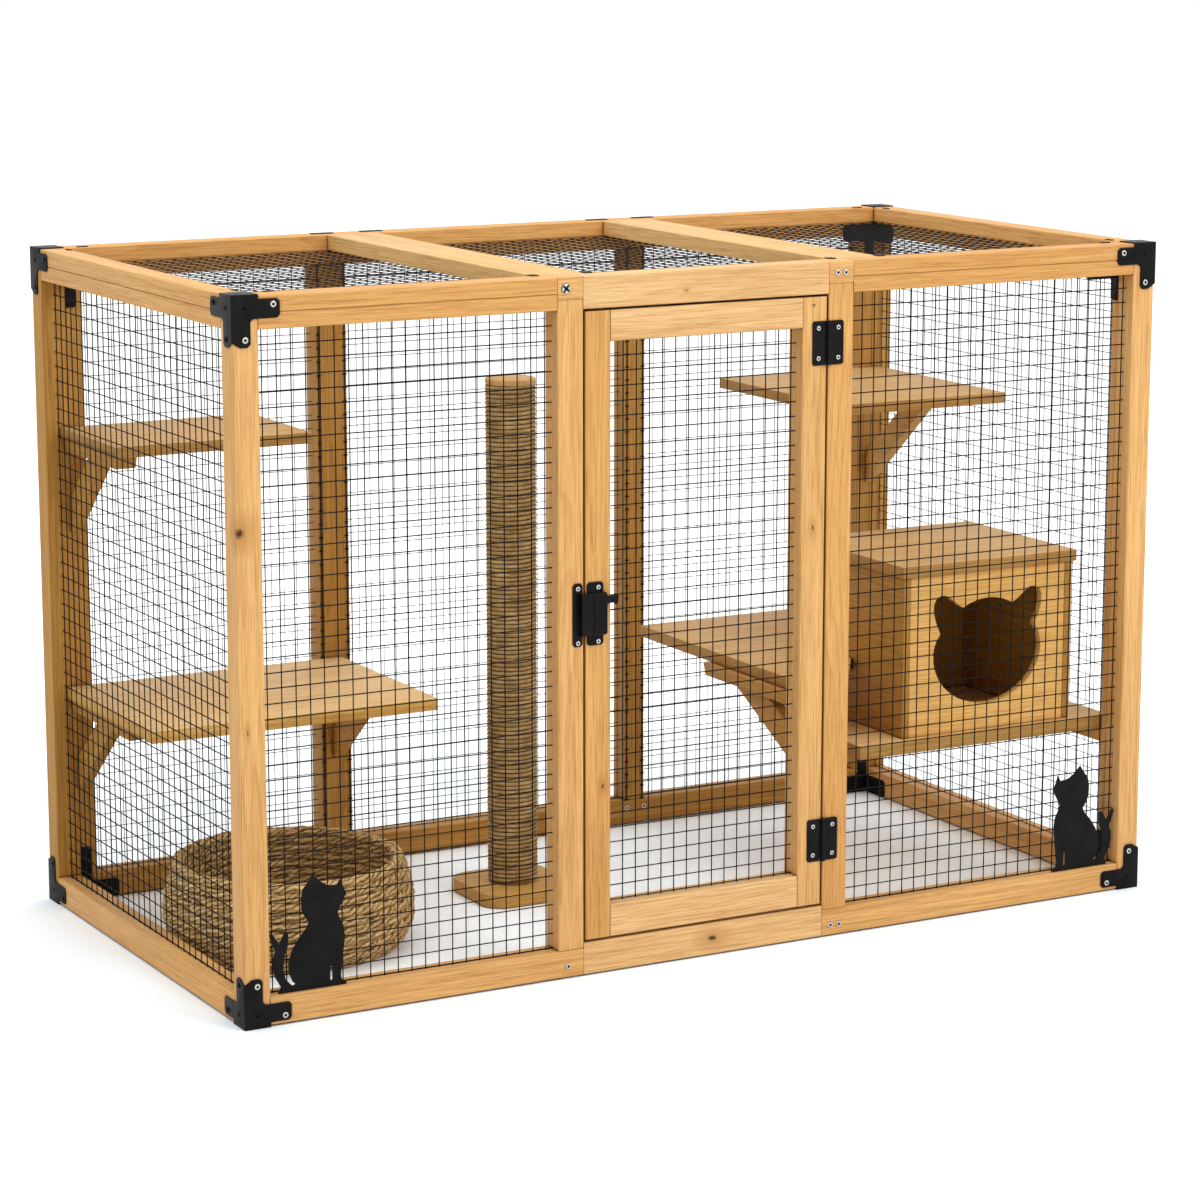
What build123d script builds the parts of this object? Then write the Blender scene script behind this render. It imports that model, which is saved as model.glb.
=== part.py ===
from build123d import *
import os

# Timber envelope of the enclosure, as seen from the front
width = 1800.0
depth = 900.0
height = 1200.0

# Frame timber
post_side = 45.0
edge_ease = 1.5
door_post_left_width = 48.0
door_post_right_width = 50.0
back_post_left_width = 62.0
back_post_right_width = 44.0
back_stile_width = 31.0
bottom_rail_height = 50.0
sill_height = 58.0
wall_rail_height = 27.0
roof_rail_height = 28.0
lap_block_height = 38.0

# Clear widths between the uprights, counted from the left
left_bay = 535.0
door_bay = 480.0
back_left_bay = 455.0
back_centre_bay = 593.0

# Roof boards that cross from front to back
roof_left_bay = 513.0
roof_centre_bay = 480.0
roof_board_width = 100.0

# Welded wire mesh
wire = 1.6
wire_pitch = 25.4
wire_layer_gap = 0.05

# Door
door_gap_latch = 4.0
door_gap_hinge = 4.0
door_gap_top = 4.0
door_gap_bottom = 5.0
door_stile_width = 48.0
door_top_rail_height = 52.0
door_bottom_rail_height = 56.0

# Butt hinges
hinge_height = 76.0
hinge_leaf_width = 31.0
hinge_sheet = 2.0
hinge_barrel_radius = 4.0
hinge_pin_radius = 2.0
hinge_pin_clearance = 0.05
hinge_knuckle_gap = 0.4
hinge_barrel_proud = 0.5
hinge_leaf_clearance = 0.6
hinge_drop_upper = 80.0
hinge_rise_lower = 117.0
hinge_leaf_chamfer = 3.0

# Door latch: a keeper on the post, a case on the stile and a sliding bolt
latch_centre = 631.0
latch_height = 108.0
latch_housing_height = 72.0
latch_sheet = 2.0
latch_chamfer = 4.0
keeper_plate_width = 18.0
keeper_plate_edge = 21.0
keeper_housing_width = 22.0
keeper_housing_edge = 9.0
keeper_end_wall = 3.0
latch_housing_depth = 13.0
case_housing_width = 25.0
case_ear_width = 31.0
case_edge = 2.0
latch_split_gap = 1.0
bolt_height = 12.0
bolt_thickness = 5.0
bolt_clearance = 0.8
bolt_drop = 13.0
bolt_back_wall = 4.0
bolt_travel = 16.0
bolt_rest_gap = 0.5
bolt_grip_length = 6.0
bolt_grip_height = 18.0
bolt_grip_gap = 1.0
bolt_grip_cut = 3.0

# Corner brackets of folded sheet on the eight outer corners
corner_sheet = 2.0
corner_arm_length = 82.0
corner_arm_width = 31.0
corner_arm_drop = 6.0
corner_leg_notch = 8.0
corner_cut = 5.0

# Folded sheet brackets in the inner corners
angle_sheet = 2.0
angle_arm_length = 72.0
angle_arm_width = 34.0
angle_leg_width = 20.0
angle_leg_lower = 100.0
angle_leg_upper = 74.0
angle_cut = 5.0
angle_mesh_gap = 0.6

# Narrow stile on the right wall, beside the front post
side_stile_width = 16.0

# Shelves: each has its clear place inside the walls
mesh_clearance = 3.0
shelf_thickness = 20.0
lower_shelf_thickness = 22.0
upper_shelf_top = 880.0
upper_left_shelf_width = 372.0
upper_left_shelf_depth = 270.0
upper_right_shelf_width = 372.0
upper_right_shelf_depth = 440.0
lower_left_shelf_top = 405.0
lower_left_shelf_width = 548.0
lower_left_shelf_depth = 408.0
middle_shelf_top = 440.0
middle_shelf_front = 140.0
middle_shelf_back = 690.0
middle_shelf_inset = 20.0
middle_shelf_front_width = 120.0
middle_shelf_cut = 105.0
middle_shelf_behind = 178.0

# Shelf brackets: a flat arm and a raking brace
arm_width = 37.0
arm_thickness = 22.0
arm_end_bevel = 8.0
brace_thickness = 22.0
brace_foot_height = 60.0
bracket_left_offset = 8.0
bracket_centre_overlap = 46.0
upper_arm_length = 258.0
upper_brace_drop = 150.0
upper_brace_reach = 162.0
lower_arm_length = 290.0
lower_brace_drop = 151.0
lower_brace_reach = 180.0
right_arm_length = 298.0
right_brace_drop = 193.0
right_brace_reach = 225.0
middle_arm_length = 380.0
middle_brace_drop = 148.0
middle_brace_reach = 277.0
middle_arm_inset = 4.0

# Low platform on the right and the bearer that carries its end
platform_top = 321.0
platform_thickness = 25.0
platform_left = 1225.0
platform_front = 62.0
platform_depth = 350.0
bearer_width = 18.0
bearer_height = 26.0

# Sleeping box on the platform
box_left = 1322.0
box_width = 368.0
box_front = 75.0
box_depth = 335.0
box_wall_height = 295.0
box_board = 15.0
box_board_inset = 1.0
box_roof_thickness = 21.0
box_roof_overhang = 6.0
hole_bottom = 48.0
hole_crown = ((-54.0, 181.0), (-30.0, 191.0), (0.0, 195.0), (30.0, 191.0), (54.0, 181.0))
hole_ear = ((54.0, 181.0), (78.0, 198.0), (100.0, 208.0), (115.0, 199.0), (118.0, 180.0), (112.0, 157.0),
            (103.0, 137.0))
hole_cheek = ((103.0, 137.0), (117.0, 108.0), (112.0, 66.0), (89.0, 33.0), (50.0, 9.0), (0.0, 0.0))
hole_crown_steps = 8
hole_ear_steps = 12
hole_cheek_steps = 32

# Scratching post
post_base_side = 186.0
post_base_thickness = 25.0
post_base_corner = 42.0
post_place_x = 764.0
post_place_y = 524.0
core_diameter = 76.0
rope_diameter = 8.0
post_total_height = 961.0
cap_thickness = 10.0
cap_sides = 48
rope_clearance = 0.3

# Coiled basket
basket_place_x = 270.0
basket_place_y = 428.0
basket_radius = 222.0
basket_height = 162.0
basket_wall = 22.0
basket_floor = 16.0
basket_sides = 18
basket_radius_shares = (0.885, 0.985, 0.995, 0.915)

# Flat cat figures that stand on the bottom rails in front of the mesh
cat_sheet = 2.0
cat_height = 195.0
cat_width = 139.0
cat_setback = 9.0
cat_post_gap = 4.0
cat_leg_slot_width = 4.0
cat_leg_slot_height = 24.0
cat_leg_slot_rise = 10.0
cat_leg_slot_place = 110.0
cat_outline_shares = (
    (0.10, 0.0),
    (0.985, 0.0),
    (0.985, 0.02),
    (0.925, 0.045),
    (0.915, 0.09),
    (0.935, 0.20),
    (0.955, 0.31),
    (0.975, 0.42),
    (0.955, 0.52),
    (0.905, 0.59),
    (0.885, 0.64),
    (0.925, 0.70),
    (1.0, 0.795),
    (0.955, 0.86),
    (0.925, 0.93),
    (0.88, 0.875),
    (0.76, 0.885),
    (0.66, 0.93),
    (0.565, 1.0),
    (0.52, 0.945),
    (0.44, 0.88),
    (0.415, 0.80),
    (0.42, 0.70),
    (0.46, 0.635),
    (0.51, 0.585),
    (0.48, 0.54),
    (0.385, 0.465),
    (0.29, 0.365),
    (0.24, 0.26),
    (0.245, 0.165),
    (0.29, 0.09),
    (0.325, 0.065),
    (0.285, 0.055),
    (0.20, 0.12),
    (0.17, 0.20),
    (0.185, 0.31),
    (0.235, 0.41),
    (0.245, 0.50),
    (0.215, 0.53),
    (0.175, 0.505),
    (0.125, 0.43),
    (0.085, 0.475),
    (0.03, 0.54),
    (0.0, 0.52),
    (0.025, 0.455),
    (0.075, 0.375),
    (0.04, 0.31),
    (0.035, 0.235),
    (0.065, 0.15),
    (0.14, 0.055),
)

# One overrun serves every cut
overrun = 5.0

# Places that follow from the sizes above
x_left = -width / 2
x_right = width / 2
y_front = -depth / 2
y_back = depth / 2
z_foot = corner_sheet
in_left = x_left + post_side
in_right = x_right - post_side
in_front = y_front + post_side
in_back = y_back - post_side
z_wall_rail = height - roof_rail_height - wall_rail_height
z_roof_rail = height - roof_rail_height
bay_left = in_left + left_bay + door_post_left_width
bay_right = bay_left + door_bay
door_post_left_x = bay_left - door_post_left_width
door_post_right_x = bay_right + door_post_right_width
back_stile_left_x = in_left + back_stile_width
back_stile_right_x = in_right - back_stile_width
side_stile_back = in_front + side_stile_width
back_post_left_x = back_stile_left_x + back_left_bay
back_centre_left_x = back_post_left_x + back_post_left_width
back_centre_right_x = back_centre_left_x + back_centre_bay
back_post_right_x = back_centre_right_x + back_post_right_width
roof_board_left_x = in_left + roof_left_bay
roof_centre_left_x = roof_board_left_x + roof_board_width
roof_centre_right_x = roof_centre_left_x + roof_centre_bay
roof_board_right_x = roof_centre_right_x + roof_board_width
mesh_front_y = y_front + post_side / 2
mesh_back_y = y_back - post_side / 2
mesh_left_x = x_left + post_side / 2
mesh_right_x = x_right - post_side / 2
mesh_half = wire + wire_layer_gap / 2
mesh_roof_z = z_roof_rail - mesh_half
shelf_left_x = mesh_left_x + mesh_half + mesh_clearance
shelf_right_x = mesh_right_x - mesh_half - mesh_clearance
door_left = bay_left + door_gap_latch
door_right = bay_right - door_gap_hinge
door_bottom = sill_height + door_gap_bottom
door_top = z_wall_rail - door_gap_top
door_in_left = door_left + door_stile_width
door_in_right = door_right - door_stile_width
door_in_bottom = door_bottom + door_bottom_rail_height
door_in_top = door_top - door_top_rail_height
hinge_x = bay_right - door_gap_hinge / 2
hinge_y = y_front - hinge_barrel_radius - hinge_barrel_proud


def block(x_lo, x_hi, y_lo, y_hi, z_lo, z_hi):
    # plain rectangular piece between two corners
    corner = (Align.MIN, Align.MIN, Align.MIN)
    return Pos(x_lo, y_lo, z_lo) * Box(x_hi - x_lo, y_hi - y_lo, z_hi - z_lo, align=corner)


def timber(x_lo, x_hi, y_lo, y_hi, z_lo, z_hi, along):
    # planed timber with its four long edges eased
    piece = block(x_lo, x_hi, y_lo, y_hi, z_lo, z_hi)
    return chamfer(piece.edges().filter_by(along), edge_ease)


def group(pieces):
    # several loose solids that make one sub-part
    solids = []
    for piece in pieces:
        solids.extend(piece.solids())
    return Compound(solids)


def outline(points):
    # flat closed face through a list of points
    return make_face(Polyline(*points, close=True))


def corner_posts():
    spans = {
        "post_front_left": (x_left, in_left, y_front, in_front),
        "post_front_right": (in_right, x_right, y_front, in_front),
        "post_back_left": (x_left, in_left, in_back, y_back),
        "post_back_right": (in_right, x_right, in_back, y_back),
    }
    posts = {}
    for name, span in spans.items():
        posts[name] = timber(*span, z_foot, height, Axis.Z)
    return posts


def door_posts():
    top = height - lap_block_height
    low = bottom_rail_height
    return {
        "post_door_left": timber(door_post_left_x, bay_left, y_front, in_front, low, top, Axis.Z),
        "post_door_right": timber(bay_right, door_post_right_x, y_front, in_front, low, top, Axis.Z),
    }


def post_lap_blocks():
    # short blocks that close the frame above the door posts
    low = height - lap_block_height
    left = timber(door_post_left_x, bay_left, y_front, in_front, low, height, Axis.Y)
    right = timber(bay_right, door_post_right_x, y_front, in_front, low, height, Axis.Y)
    return group([left, right])


def back_posts():
    low = bottom_rail_height
    top = z_wall_rail
    left = timber(back_post_left_x, back_centre_left_x, in_back, y_back, low, top, Axis.Z)
    right = timber(back_centre_right_x, back_post_right_x, in_back, y_back, low, top, Axis.Z)
    return {"post_back_centre_left": left, "post_back_centre_right": right}


def back_stiles():
    low = bottom_rail_height
    top = z_wall_rail
    left = timber(in_left, back_stile_left_x, in_back, y_back, low, top, Axis.Z)
    right = timber(back_stile_right_x, in_right, in_back, y_back, low, top, Axis.Z)
    return group([left, right])


def side_stile():
    low = bottom_rail_height
    return timber(in_right, x_right, in_front, side_stile_back, low, z_wall_rail, Axis.Z)


def bottom_rails():
    top = bottom_rail_height
    left = timber(x_left, in_left, in_front, in_back, z_foot, top, Axis.Y)
    right = timber(in_right, x_right, in_front, in_back, z_foot, top, Axis.Y)
    return {
        "rail_bottom_front_left": timber(in_left, bay_left, y_front, in_front, z_foot, top, Axis.X),
        "rail_bottom_front_right": timber(bay_right, in_right, y_front, in_front, z_foot, top, Axis.X),
        "door_sill": timber(bay_left, bay_right, y_front, in_front, z_foot, sill_height, Axis.X),
        "rail_bottom_back": timber(in_left, in_right, in_back, y_back, z_foot, top, Axis.X),
        "rails_bottom_side": group([left, right]),
    }


def top_rails():
    low = z_wall_rail
    top = z_roof_rail
    front_left = timber(in_left, door_post_left_x, y_front, in_front, low, top, Axis.X)
    front_right = timber(door_post_right_x, in_right, y_front, in_front, low, top, Axis.X)
    back = timber(in_left, in_right, in_back, y_back, low, top, Axis.X)
    left = timber(x_left, in_left, in_front, in_back, low, top, Axis.Y)
    right = timber(in_right, x_right, in_front, in_back, low, top, Axis.Y)
    return {
        "rails_top_long": group([front_left, front_right, back]),
        "rails_top_side": group([left, right]),
        "door_header": timber(bay_left, bay_right, y_front, in_front, low, height, Axis.X),
    }


def roof_rails():
    low = z_roof_rail
    front_left = timber(in_left, door_post_left_x, y_front, in_front, low, height, Axis.X)
    front_right = timber(door_post_right_x, in_right, y_front, in_front, low, height, Axis.X)
    back = timber(in_left, in_right, in_back, y_back, low, height, Axis.X)
    left = timber(x_left, in_left, in_front, in_back, low, height, Axis.Y)
    right = timber(in_right, x_right, in_front, in_back, low, height, Axis.Y)
    board_left = timber(roof_board_left_x, roof_centre_left_x, in_front, in_back, low, height, Axis.Y)
    board_right = timber(roof_centre_right_x, roof_board_right_x, in_front, in_back, low, height, Axis.Y)
    return {
        "roof_rails_long": group([front_left, front_right, back]),
        "roof_rails_side": group([left, right]),
        "roof_boards": group([board_left, board_right]),
    }


def wire_places(low, high):
    # wires at the pitch, with the same margin at both ends
    count = int((high - low - wire) / wire_pitch)
    margin = (high - low - count * wire_pitch) / 2
    return [low + margin + i * wire_pitch for i in range(count + 1)]


def wire_bar(normal, u_span, v_span, w_span):
    # one wire, given along the panel, up the panel and through it
    if normal == Axis.Y:
        return block(*u_span, *w_span, *v_span)
    if normal == Axis.X:
        return block(*w_span, *u_span, *v_span)
    return block(*u_span, *v_span, *w_span)


def mesh_wires(normal, middle, u_low, u_high, v_low, v_high):
    # two layers of crossing wires, welded where they cross
    half = wire / 2
    step = (wire + wire_layer_gap) / 2
    near = (middle - step - half, middle - step + half)
    far = (middle + step - half, middle + step + half)
    wires = []
    for v in wire_places(v_low, v_high):
        wires.append(wire_bar(normal, (u_low, u_high), (v - half, v + half), far))
    for u in wire_places(u_low, u_high):
        wires.append(wire_bar(normal, (u - half, u + half), (v_low, v_high), near))
    return wires


def mesh_panels():
    low = bottom_rail_height
    high = z_wall_rail
    back = mesh_wires(Axis.Y, mesh_back_y, back_stile_left_x, back_post_left_x, low, high)
    back += mesh_wires(Axis.Y, mesh_back_y, back_centre_left_x, back_centre_right_x, low, high)
    back += mesh_wires(Axis.Y, mesh_back_y, back_post_right_x, back_stile_right_x, low, high)
    front_left = mesh_wires(Axis.Y, mesh_front_y, in_left, door_post_left_x, low, high)
    front_right = mesh_wires(Axis.Y, mesh_front_y, door_post_right_x, in_right, low, high)
    roof = mesh_wires(Axis.Z, mesh_roof_z, in_left, in_right, in_front, in_back)
    door = mesh_wires(Axis.Y, mesh_front_y, door_in_left, door_in_right, door_in_bottom, door_in_top)
    return {
        "mesh_front_left": group(front_left),
        "mesh_front_right": group(front_right),
        "mesh_back": group(back),
        "mesh_left": group(mesh_wires(Axis.X, mesh_left_x, in_front, in_back, low, high)),
        "mesh_right": group(mesh_wires(Axis.X, mesh_right_x, side_stile_back, in_back, low, high)),
        "mesh_roof": group(roof),
        "mesh_door": group(door),
    }


def door_frame():
    left = timber(door_left, door_in_left, y_front, in_front, door_bottom, door_top, Axis.Z)
    right = timber(door_in_right, door_right, y_front, in_front, door_bottom, door_top, Axis.Z)
    low = timber(door_in_left, door_in_right, y_front, in_front, door_bottom, door_in_bottom, Axis.X)
    top = timber(door_in_left, door_in_right, y_front, in_front, door_in_top, door_top, Axis.X)
    return {
        "door_stile_latch": left,
        "door_stile_hinge": right,
        "door_rails": group([low, top]),
    }


def hinge_leaf(side, z_mid, knuckles):
    # flat leaf on the timber face with its knuckles round the pin; side is 1 for the post
    low = z_mid - hinge_height / 2
    outer = hinge_x + side * hinge_leaf_width
    root = hinge_x + side * (hinge_barrel_radius + hinge_leaf_clearance)
    face = y_front - hinge_sheet
    plate = block(min(root, outer), max(root, outer), face, y_front, low, low + hinge_height)
    across = plate.edges().filter_by(Axis.Y).group_by(Axis.X)
    leaf = chamfer(across[-1] if side > 0 else across[0], hinge_leaf_chamfer)
    for start, end in knuckles:
        barrel = Pos(hinge_x, hinge_y, start) * Cylinder(
            hinge_barrel_radius, end - start, align=(Align.CENTER, Align.CENTER, Align.MIN)
        )
        web = block(min(hinge_x, root), max(hinge_x, root), face, y_front, start, end)
        leaf = leaf + barrel + web
    bore = Pos(hinge_x, hinge_y, low - overrun) * Cylinder(
        hinge_pin_radius + hinge_pin_clearance,
        hinge_height + 2 * overrun,
        align=(Align.CENTER, Align.CENTER, Align.MIN),
    )
    return leaf - bore


def hinge_spans(z_mid):
    # outer knuckles for the post's leaf, the middle one for the door's leaf
    low = z_mid - hinge_height / 2
    third = hinge_height / 3
    outer = [(low, low + third), (low + 2 * third, low + hinge_height)]
    middle = [(low + third + hinge_knuckle_gap, low + 2 * third - hinge_knuckle_gap)]
    return outer, middle


def hinge_pin(z_mid):
    low = z_mid - hinge_height / 2
    foot = (Align.CENTER, Align.CENTER, Align.MIN)
    return Pos(hinge_x, hinge_y, low) * Cylinder(hinge_pin_radius, hinge_height, align=foot)


def hinges():
    post_leaves = []
    door_leaves = []
    pins = []
    for z_mid in (door_bottom + hinge_rise_lower, door_top - hinge_drop_upper):
        outer, middle = hinge_spans(z_mid)
        post_leaves.append(hinge_leaf(1, z_mid, outer))
        door_leaves.append(hinge_leaf(-1, z_mid, middle))
        pins.append(hinge_pin(z_mid))
    return {
        "hinge_leaves_post": group(post_leaves),
        "hinge_leaves_door": group(door_leaves),
        "hinge_pins": group(pins),
    }


def latch_slot(x_lo, x_hi):
    # way for the bolt through a housing
    z_mid = latch_centre + latch_housing_height / 2 - bolt_drop
    half = bolt_height / 2 + bolt_clearance
    back = y_front - bolt_back_wall + bolt_clearance
    front = y_front - bolt_back_wall - bolt_thickness - bolt_clearance
    return block(x_lo, x_hi, front, back, z_mid - half, z_mid + half)


def latch_keeper():
    x_lo = bay_left - keeper_plate_edge
    low = latch_centre - latch_height / 2
    plate = block(x_lo, x_lo + keeper_plate_width, y_front - latch_sheet, y_front, low, low + latch_height)
    plate = chamfer(plate.edges().filter_by(Axis.Y), latch_chamfer)
    h_lo = bay_left - keeper_housing_edge
    h_hi = h_lo + keeper_housing_width
    z_lo = latch_centre - latch_housing_height / 2
    housing = block(h_lo, h_hi, y_front - latch_housing_depth, y_front - latch_sheet,
                    z_lo, z_lo + latch_housing_height)
    housing = chamfer(housing.faces().sort_by(Axis.Y)[0].edges().filter_by(Axis.X), latch_chamfer)
    seat = block(h_lo, x_lo + keeper_plate_width, y_front - latch_sheet, y_front,
                 z_lo, z_lo + latch_housing_height)
    return plate + housing + seat - latch_slot(h_lo + keeper_end_wall, h_hi + overrun)


def latch_case():
    h_lo = bay_left - keeper_housing_edge + keeper_housing_width + latch_split_gap
    h_hi = h_lo + case_housing_width
    z_lo = latch_centre - latch_housing_height / 2
    low = latch_centre - latch_height / 2
    e_lo = door_left + case_edge
    plate = block(e_lo, e_lo + case_ear_width, y_front - latch_sheet, y_front, low, low + latch_height)
    plate = chamfer(plate.edges().filter_by(Axis.Y), latch_chamfer)
    housing = block(h_lo, h_hi, y_front - latch_housing_depth, y_front, z_lo, z_lo + latch_housing_height)
    housing = chamfer(housing.faces().sort_by(Axis.Y)[0].edges().filter_by(Axis.X), latch_chamfer)
    return plate + housing - latch_slot(h_lo - overrun, h_hi + overrun)


def latch_bolt():
    # drawn back: the nose lies just inside the case and the grip stands out by the travel
    nose = bay_left - keeper_housing_edge + keeper_housing_width + latch_split_gap + bolt_rest_gap
    g_lo = nose - bolt_rest_gap + case_housing_width + bolt_travel + bolt_grip_gap
    z_mid = latch_centre + latch_housing_height / 2 - bolt_drop
    back = y_front - bolt_back_wall
    front = back - bolt_thickness
    half = bolt_height / 2
    bar = block(nose, g_lo, front, back, z_mid - half, z_mid + half)
    g_half = bolt_grip_height / 2
    grip = block(g_lo, g_lo + bolt_grip_length, front, back, z_mid - g_half, z_mid + g_half)
    grip = chamfer(grip.edges().filter_by(Axis.Y).group_by(Axis.X)[-1], bolt_grip_cut)
    return bar + grip


def corner_profile():
    # one face of a corner bracket: a long arm, a leg and the bevelled notch beside the fold
    a = corner_arm_length
    w = corner_arm_width
    d = corner_arm_drop
    n = corner_leg_notch
    c = corner_cut
    points = [
        (0, 0),
        (post_side, 0),
        (post_side, -d),
        (a - c, -d),
        (a, -d - c),
        (a, -d - w + c),
        (a - c, -d - w),
        (w + c, -d - w),
        (w, -d - w - c),
        (w, -a + c),
        (w - c, -a),
        (n + c, -a),
        (0, -a + n),
    ]
    return outline(points)


def corner_bracket():
    # the bracket for the left, front, top corner, with the corner at the origin
    s = corner_sheet
    profile = corner_profile()
    front = extrude(Plane.XZ * profile, s)
    side = extrude(Plane.YZ * profile, -s)
    fold = block(-s, 0, -s, 0, corner_leg_notch - corner_arm_length, 0)
    top = block(-s, post_side, -s, post_side, 0, s)
    return front + side + fold + top


def corner_brackets():
    # the same bracket, mirrored into all eight outer corners
    lower = []
    upper = []
    one = corner_bracket()
    flipped = mirror(one, Plane.XY)
    for x, across in ((x_left, False), (x_right, True)):
        for y, along in ((y_front, False), (y_back, True)):
            for shape, z, pile in ((one, height, upper), (flipped, z_foot, lower)):
                turned = mirror(shape, Plane.YZ) if across else shape
                turned = mirror(turned, Plane.XZ) if along else turned
                pile.append(Pos(x, y, z) * turned)
    return {"corner_brackets_top": group(upper), "corner_brackets_bottom": group(lower)}


def angle_face(arm, leg):
    # one face of an inner bracket: an arm on the rail and a leg on the upright
    a = arm
    w = angle_arm_width
    n = angle_leg_width
    c = angle_cut
    return outline([
        (0, 0),
        (a - c, 0),
        (a, c),
        (a, w - c),
        (a - c, w),
        (n + c, w),
        (n, w + c),
        (n, leg - c),
        (n - c, leg),
        (0, leg),
    ])


def angle_arm():
    # the other face: an arm alone, folded round the corner
    a = angle_arm_length
    w = angle_arm_width
    c = angle_cut
    return outline([(0, 0), (a - c, 0), (a, c), (a, w - c), (a - c, w), (0, w)])


def angle_bracket(leg, leg_on_side):
    # bracket for the corner at the origin, with the room on its +X, -Y and +Z sides
    s = angle_sheet
    if leg_on_side:
        back = extrude(Plane.XZ * angle_arm(), s)
        side = extrude(Plane.YZ * mirror(angle_face(angle_arm_length, leg), Plane.YZ), s)
    else:
        back = extrude(Plane.XZ * angle_face(angle_arm_length, leg), s)
        side = extrude(Plane.YZ * mirror(angle_arm(), Plane.YZ), s)
    return back + side


def angle_brackets():
    high = mesh_roof_z - mesh_half - angle_mesh_gap
    lower = (z_foot, angle_leg_lower, False)
    upper = (high, angle_leg_upper, True)
    pieces = []
    for z, leg, down in (lower, upper):
        back_pair = angle_bracket(leg, False)
        front_one = mirror(angle_bracket(leg, True), Plane.XZ)
        placed = (
            (in_left, in_back, back_pair),
            (in_right, in_back, mirror(back_pair, Plane.YZ)),
            (in_right, in_front, mirror(front_one, Plane.YZ)),
        )
        for x, y, shape in placed:
            turned = mirror(shape, Plane.XY) if down else shape
            pieces.append(Pos(x, y, z) * turned)
    return group(pieces)


def shelf_bracket(x_lo, y_face, way, z_top, length, drop, reach):
    # arm under the shelf and brace back to the post; way is 1 where it runs to the back
    arm_end = y_face + way * length
    z_arm = z_top - arm_thickness
    arm_points = [
        (y_face, z_top),
        (arm_end, z_top),
        (arm_end - way * arm_end_bevel, z_arm),
        (y_face, z_arm),
    ]
    rise = drop - brace_foot_height
    inner_reach = reach * rise / drop
    brace_points = [
        (y_face, z_arm - drop),
        (y_face, z_arm - rise),
        (y_face + way * inner_reach, z_arm),
        (y_face + way * reach, z_arm),
    ]
    arm = Pos(x_lo, 0, 0) * extrude(Plane.YZ * outline(arm_points), arm_width)
    x_brace = x_lo + (arm_width - brace_thickness) / 2
    brace = Pos(x_brace, 0, 0) * extrude(Plane.YZ * outline(brace_points), brace_thickness)
    return [arm, brace]


def shelf_brackets():
    upper_low = upper_shelf_top - shelf_thickness
    lower_low = lower_left_shelf_top - lower_shelf_thickness
    middle_low = middle_shelf_top - lower_shelf_thickness
    left_x = shelf_left_x + bracket_left_offset
    right_x = shelf_right_x - arm_width
    centre_x = back_centre_left_x - bracket_centre_overlap
    middle_x = bay_right + middle_arm_inset
    upper_left = shelf_bracket(
        left_x, in_back, -1, upper_low, upper_arm_length, upper_brace_drop, upper_brace_reach
    )
    lower = shelf_bracket(
        left_x, in_back, -1, lower_low, lower_arm_length, lower_brace_drop, lower_brace_reach
    )
    lower += shelf_bracket(
        centre_x, in_back, -1, lower_low, lower_arm_length, lower_brace_drop, lower_brace_reach
    )
    upper_right = shelf_bracket(
        right_x, in_back, -1, upper_low, right_arm_length, right_brace_drop, right_brace_reach
    )
    middle = shelf_bracket(
        middle_x, in_front, 1, middle_low, middle_arm_length, middle_brace_drop, middle_brace_reach
    )
    return {
        "bracket_upper_left": group(upper_left),
        "brackets_lower_left": group(lower),
        "bracket_upper_right": group(upper_right),
        "bracket_middle": group(middle),
    }


def middle_shelf():
    # board notched round the sleeping box, with one corner cut off
    left = bay_right + middle_shelf_inset
    front = y_front + middle_shelf_front
    back = y_front + middle_shelf_back
    box_x = x_left + box_left
    box_back = y_front + box_front + box_depth
    points = [
        (left, front),
        (left + middle_shelf_front_width, front),
        (box_x, front + middle_shelf_cut),
        (box_x, box_back),
        (box_x + middle_shelf_behind, box_back),
        (box_x + middle_shelf_behind, back),
        (left, back),
    ]
    low = middle_shelf_top - lower_shelf_thickness
    return Pos(0, 0, low) * extrude(outline(points), lower_shelf_thickness)


def shelves():
    upper_low = upper_shelf_top - shelf_thickness
    lower_low = lower_left_shelf_top - lower_shelf_thickness
    upper_left = block(shelf_left_x, shelf_left_x + upper_left_shelf_width,
                       in_back - upper_left_shelf_depth, in_back, upper_low, upper_shelf_top)
    upper_right = block(shelf_right_x - upper_right_shelf_width, shelf_right_x,
                        in_back - upper_right_shelf_depth, in_back, upper_low, upper_shelf_top)
    lower_left = block(shelf_left_x, shelf_left_x + lower_left_shelf_width,
                       in_back - lower_left_shelf_depth, in_back, lower_low, lower_left_shelf_top)
    return {
        "shelf_upper_left": upper_left,
        "shelf_upper_right": upper_right,
        "shelf_lower_left": lower_left,
        "shelf_middle": middle_shelf(),
    }


def platform():
    low = platform_top - platform_thickness
    front = y_front + platform_front
    back = front + platform_depth
    return {
        "platform": block(x_left + platform_left, shelf_right_x, front, back, low, platform_top),
        "platform_bearer": block(shelf_right_x - bearer_width, shelf_right_x, side_stile_back, in_back,
                                 low - bearer_height, low),
    }


def mirrored(points):
    # the same row of points on the other side, run the other way
    return [(-x, z) for x, z in reversed(points)]


def steps_along(points, count):
    # a smooth curve through the points, walked in even steps, without its last point
    curve = Spline(*points)
    return [curve.position_at(i / count) for i in range(count)]


def hole_shape():
    # cat's head: round cheeks, a low crown and two rounded ears
    cheeks = list(hole_cheek) + mirrored(hole_cheek)[1:]
    points = steps_along(hole_crown, hole_crown_steps)
    points += steps_along(hole_ear, hole_ear_steps)
    points += steps_along(cheeks, hole_cheek_steps)
    points += steps_along(mirrored(hole_ear), hole_ear_steps)
    return outline(points)


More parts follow.
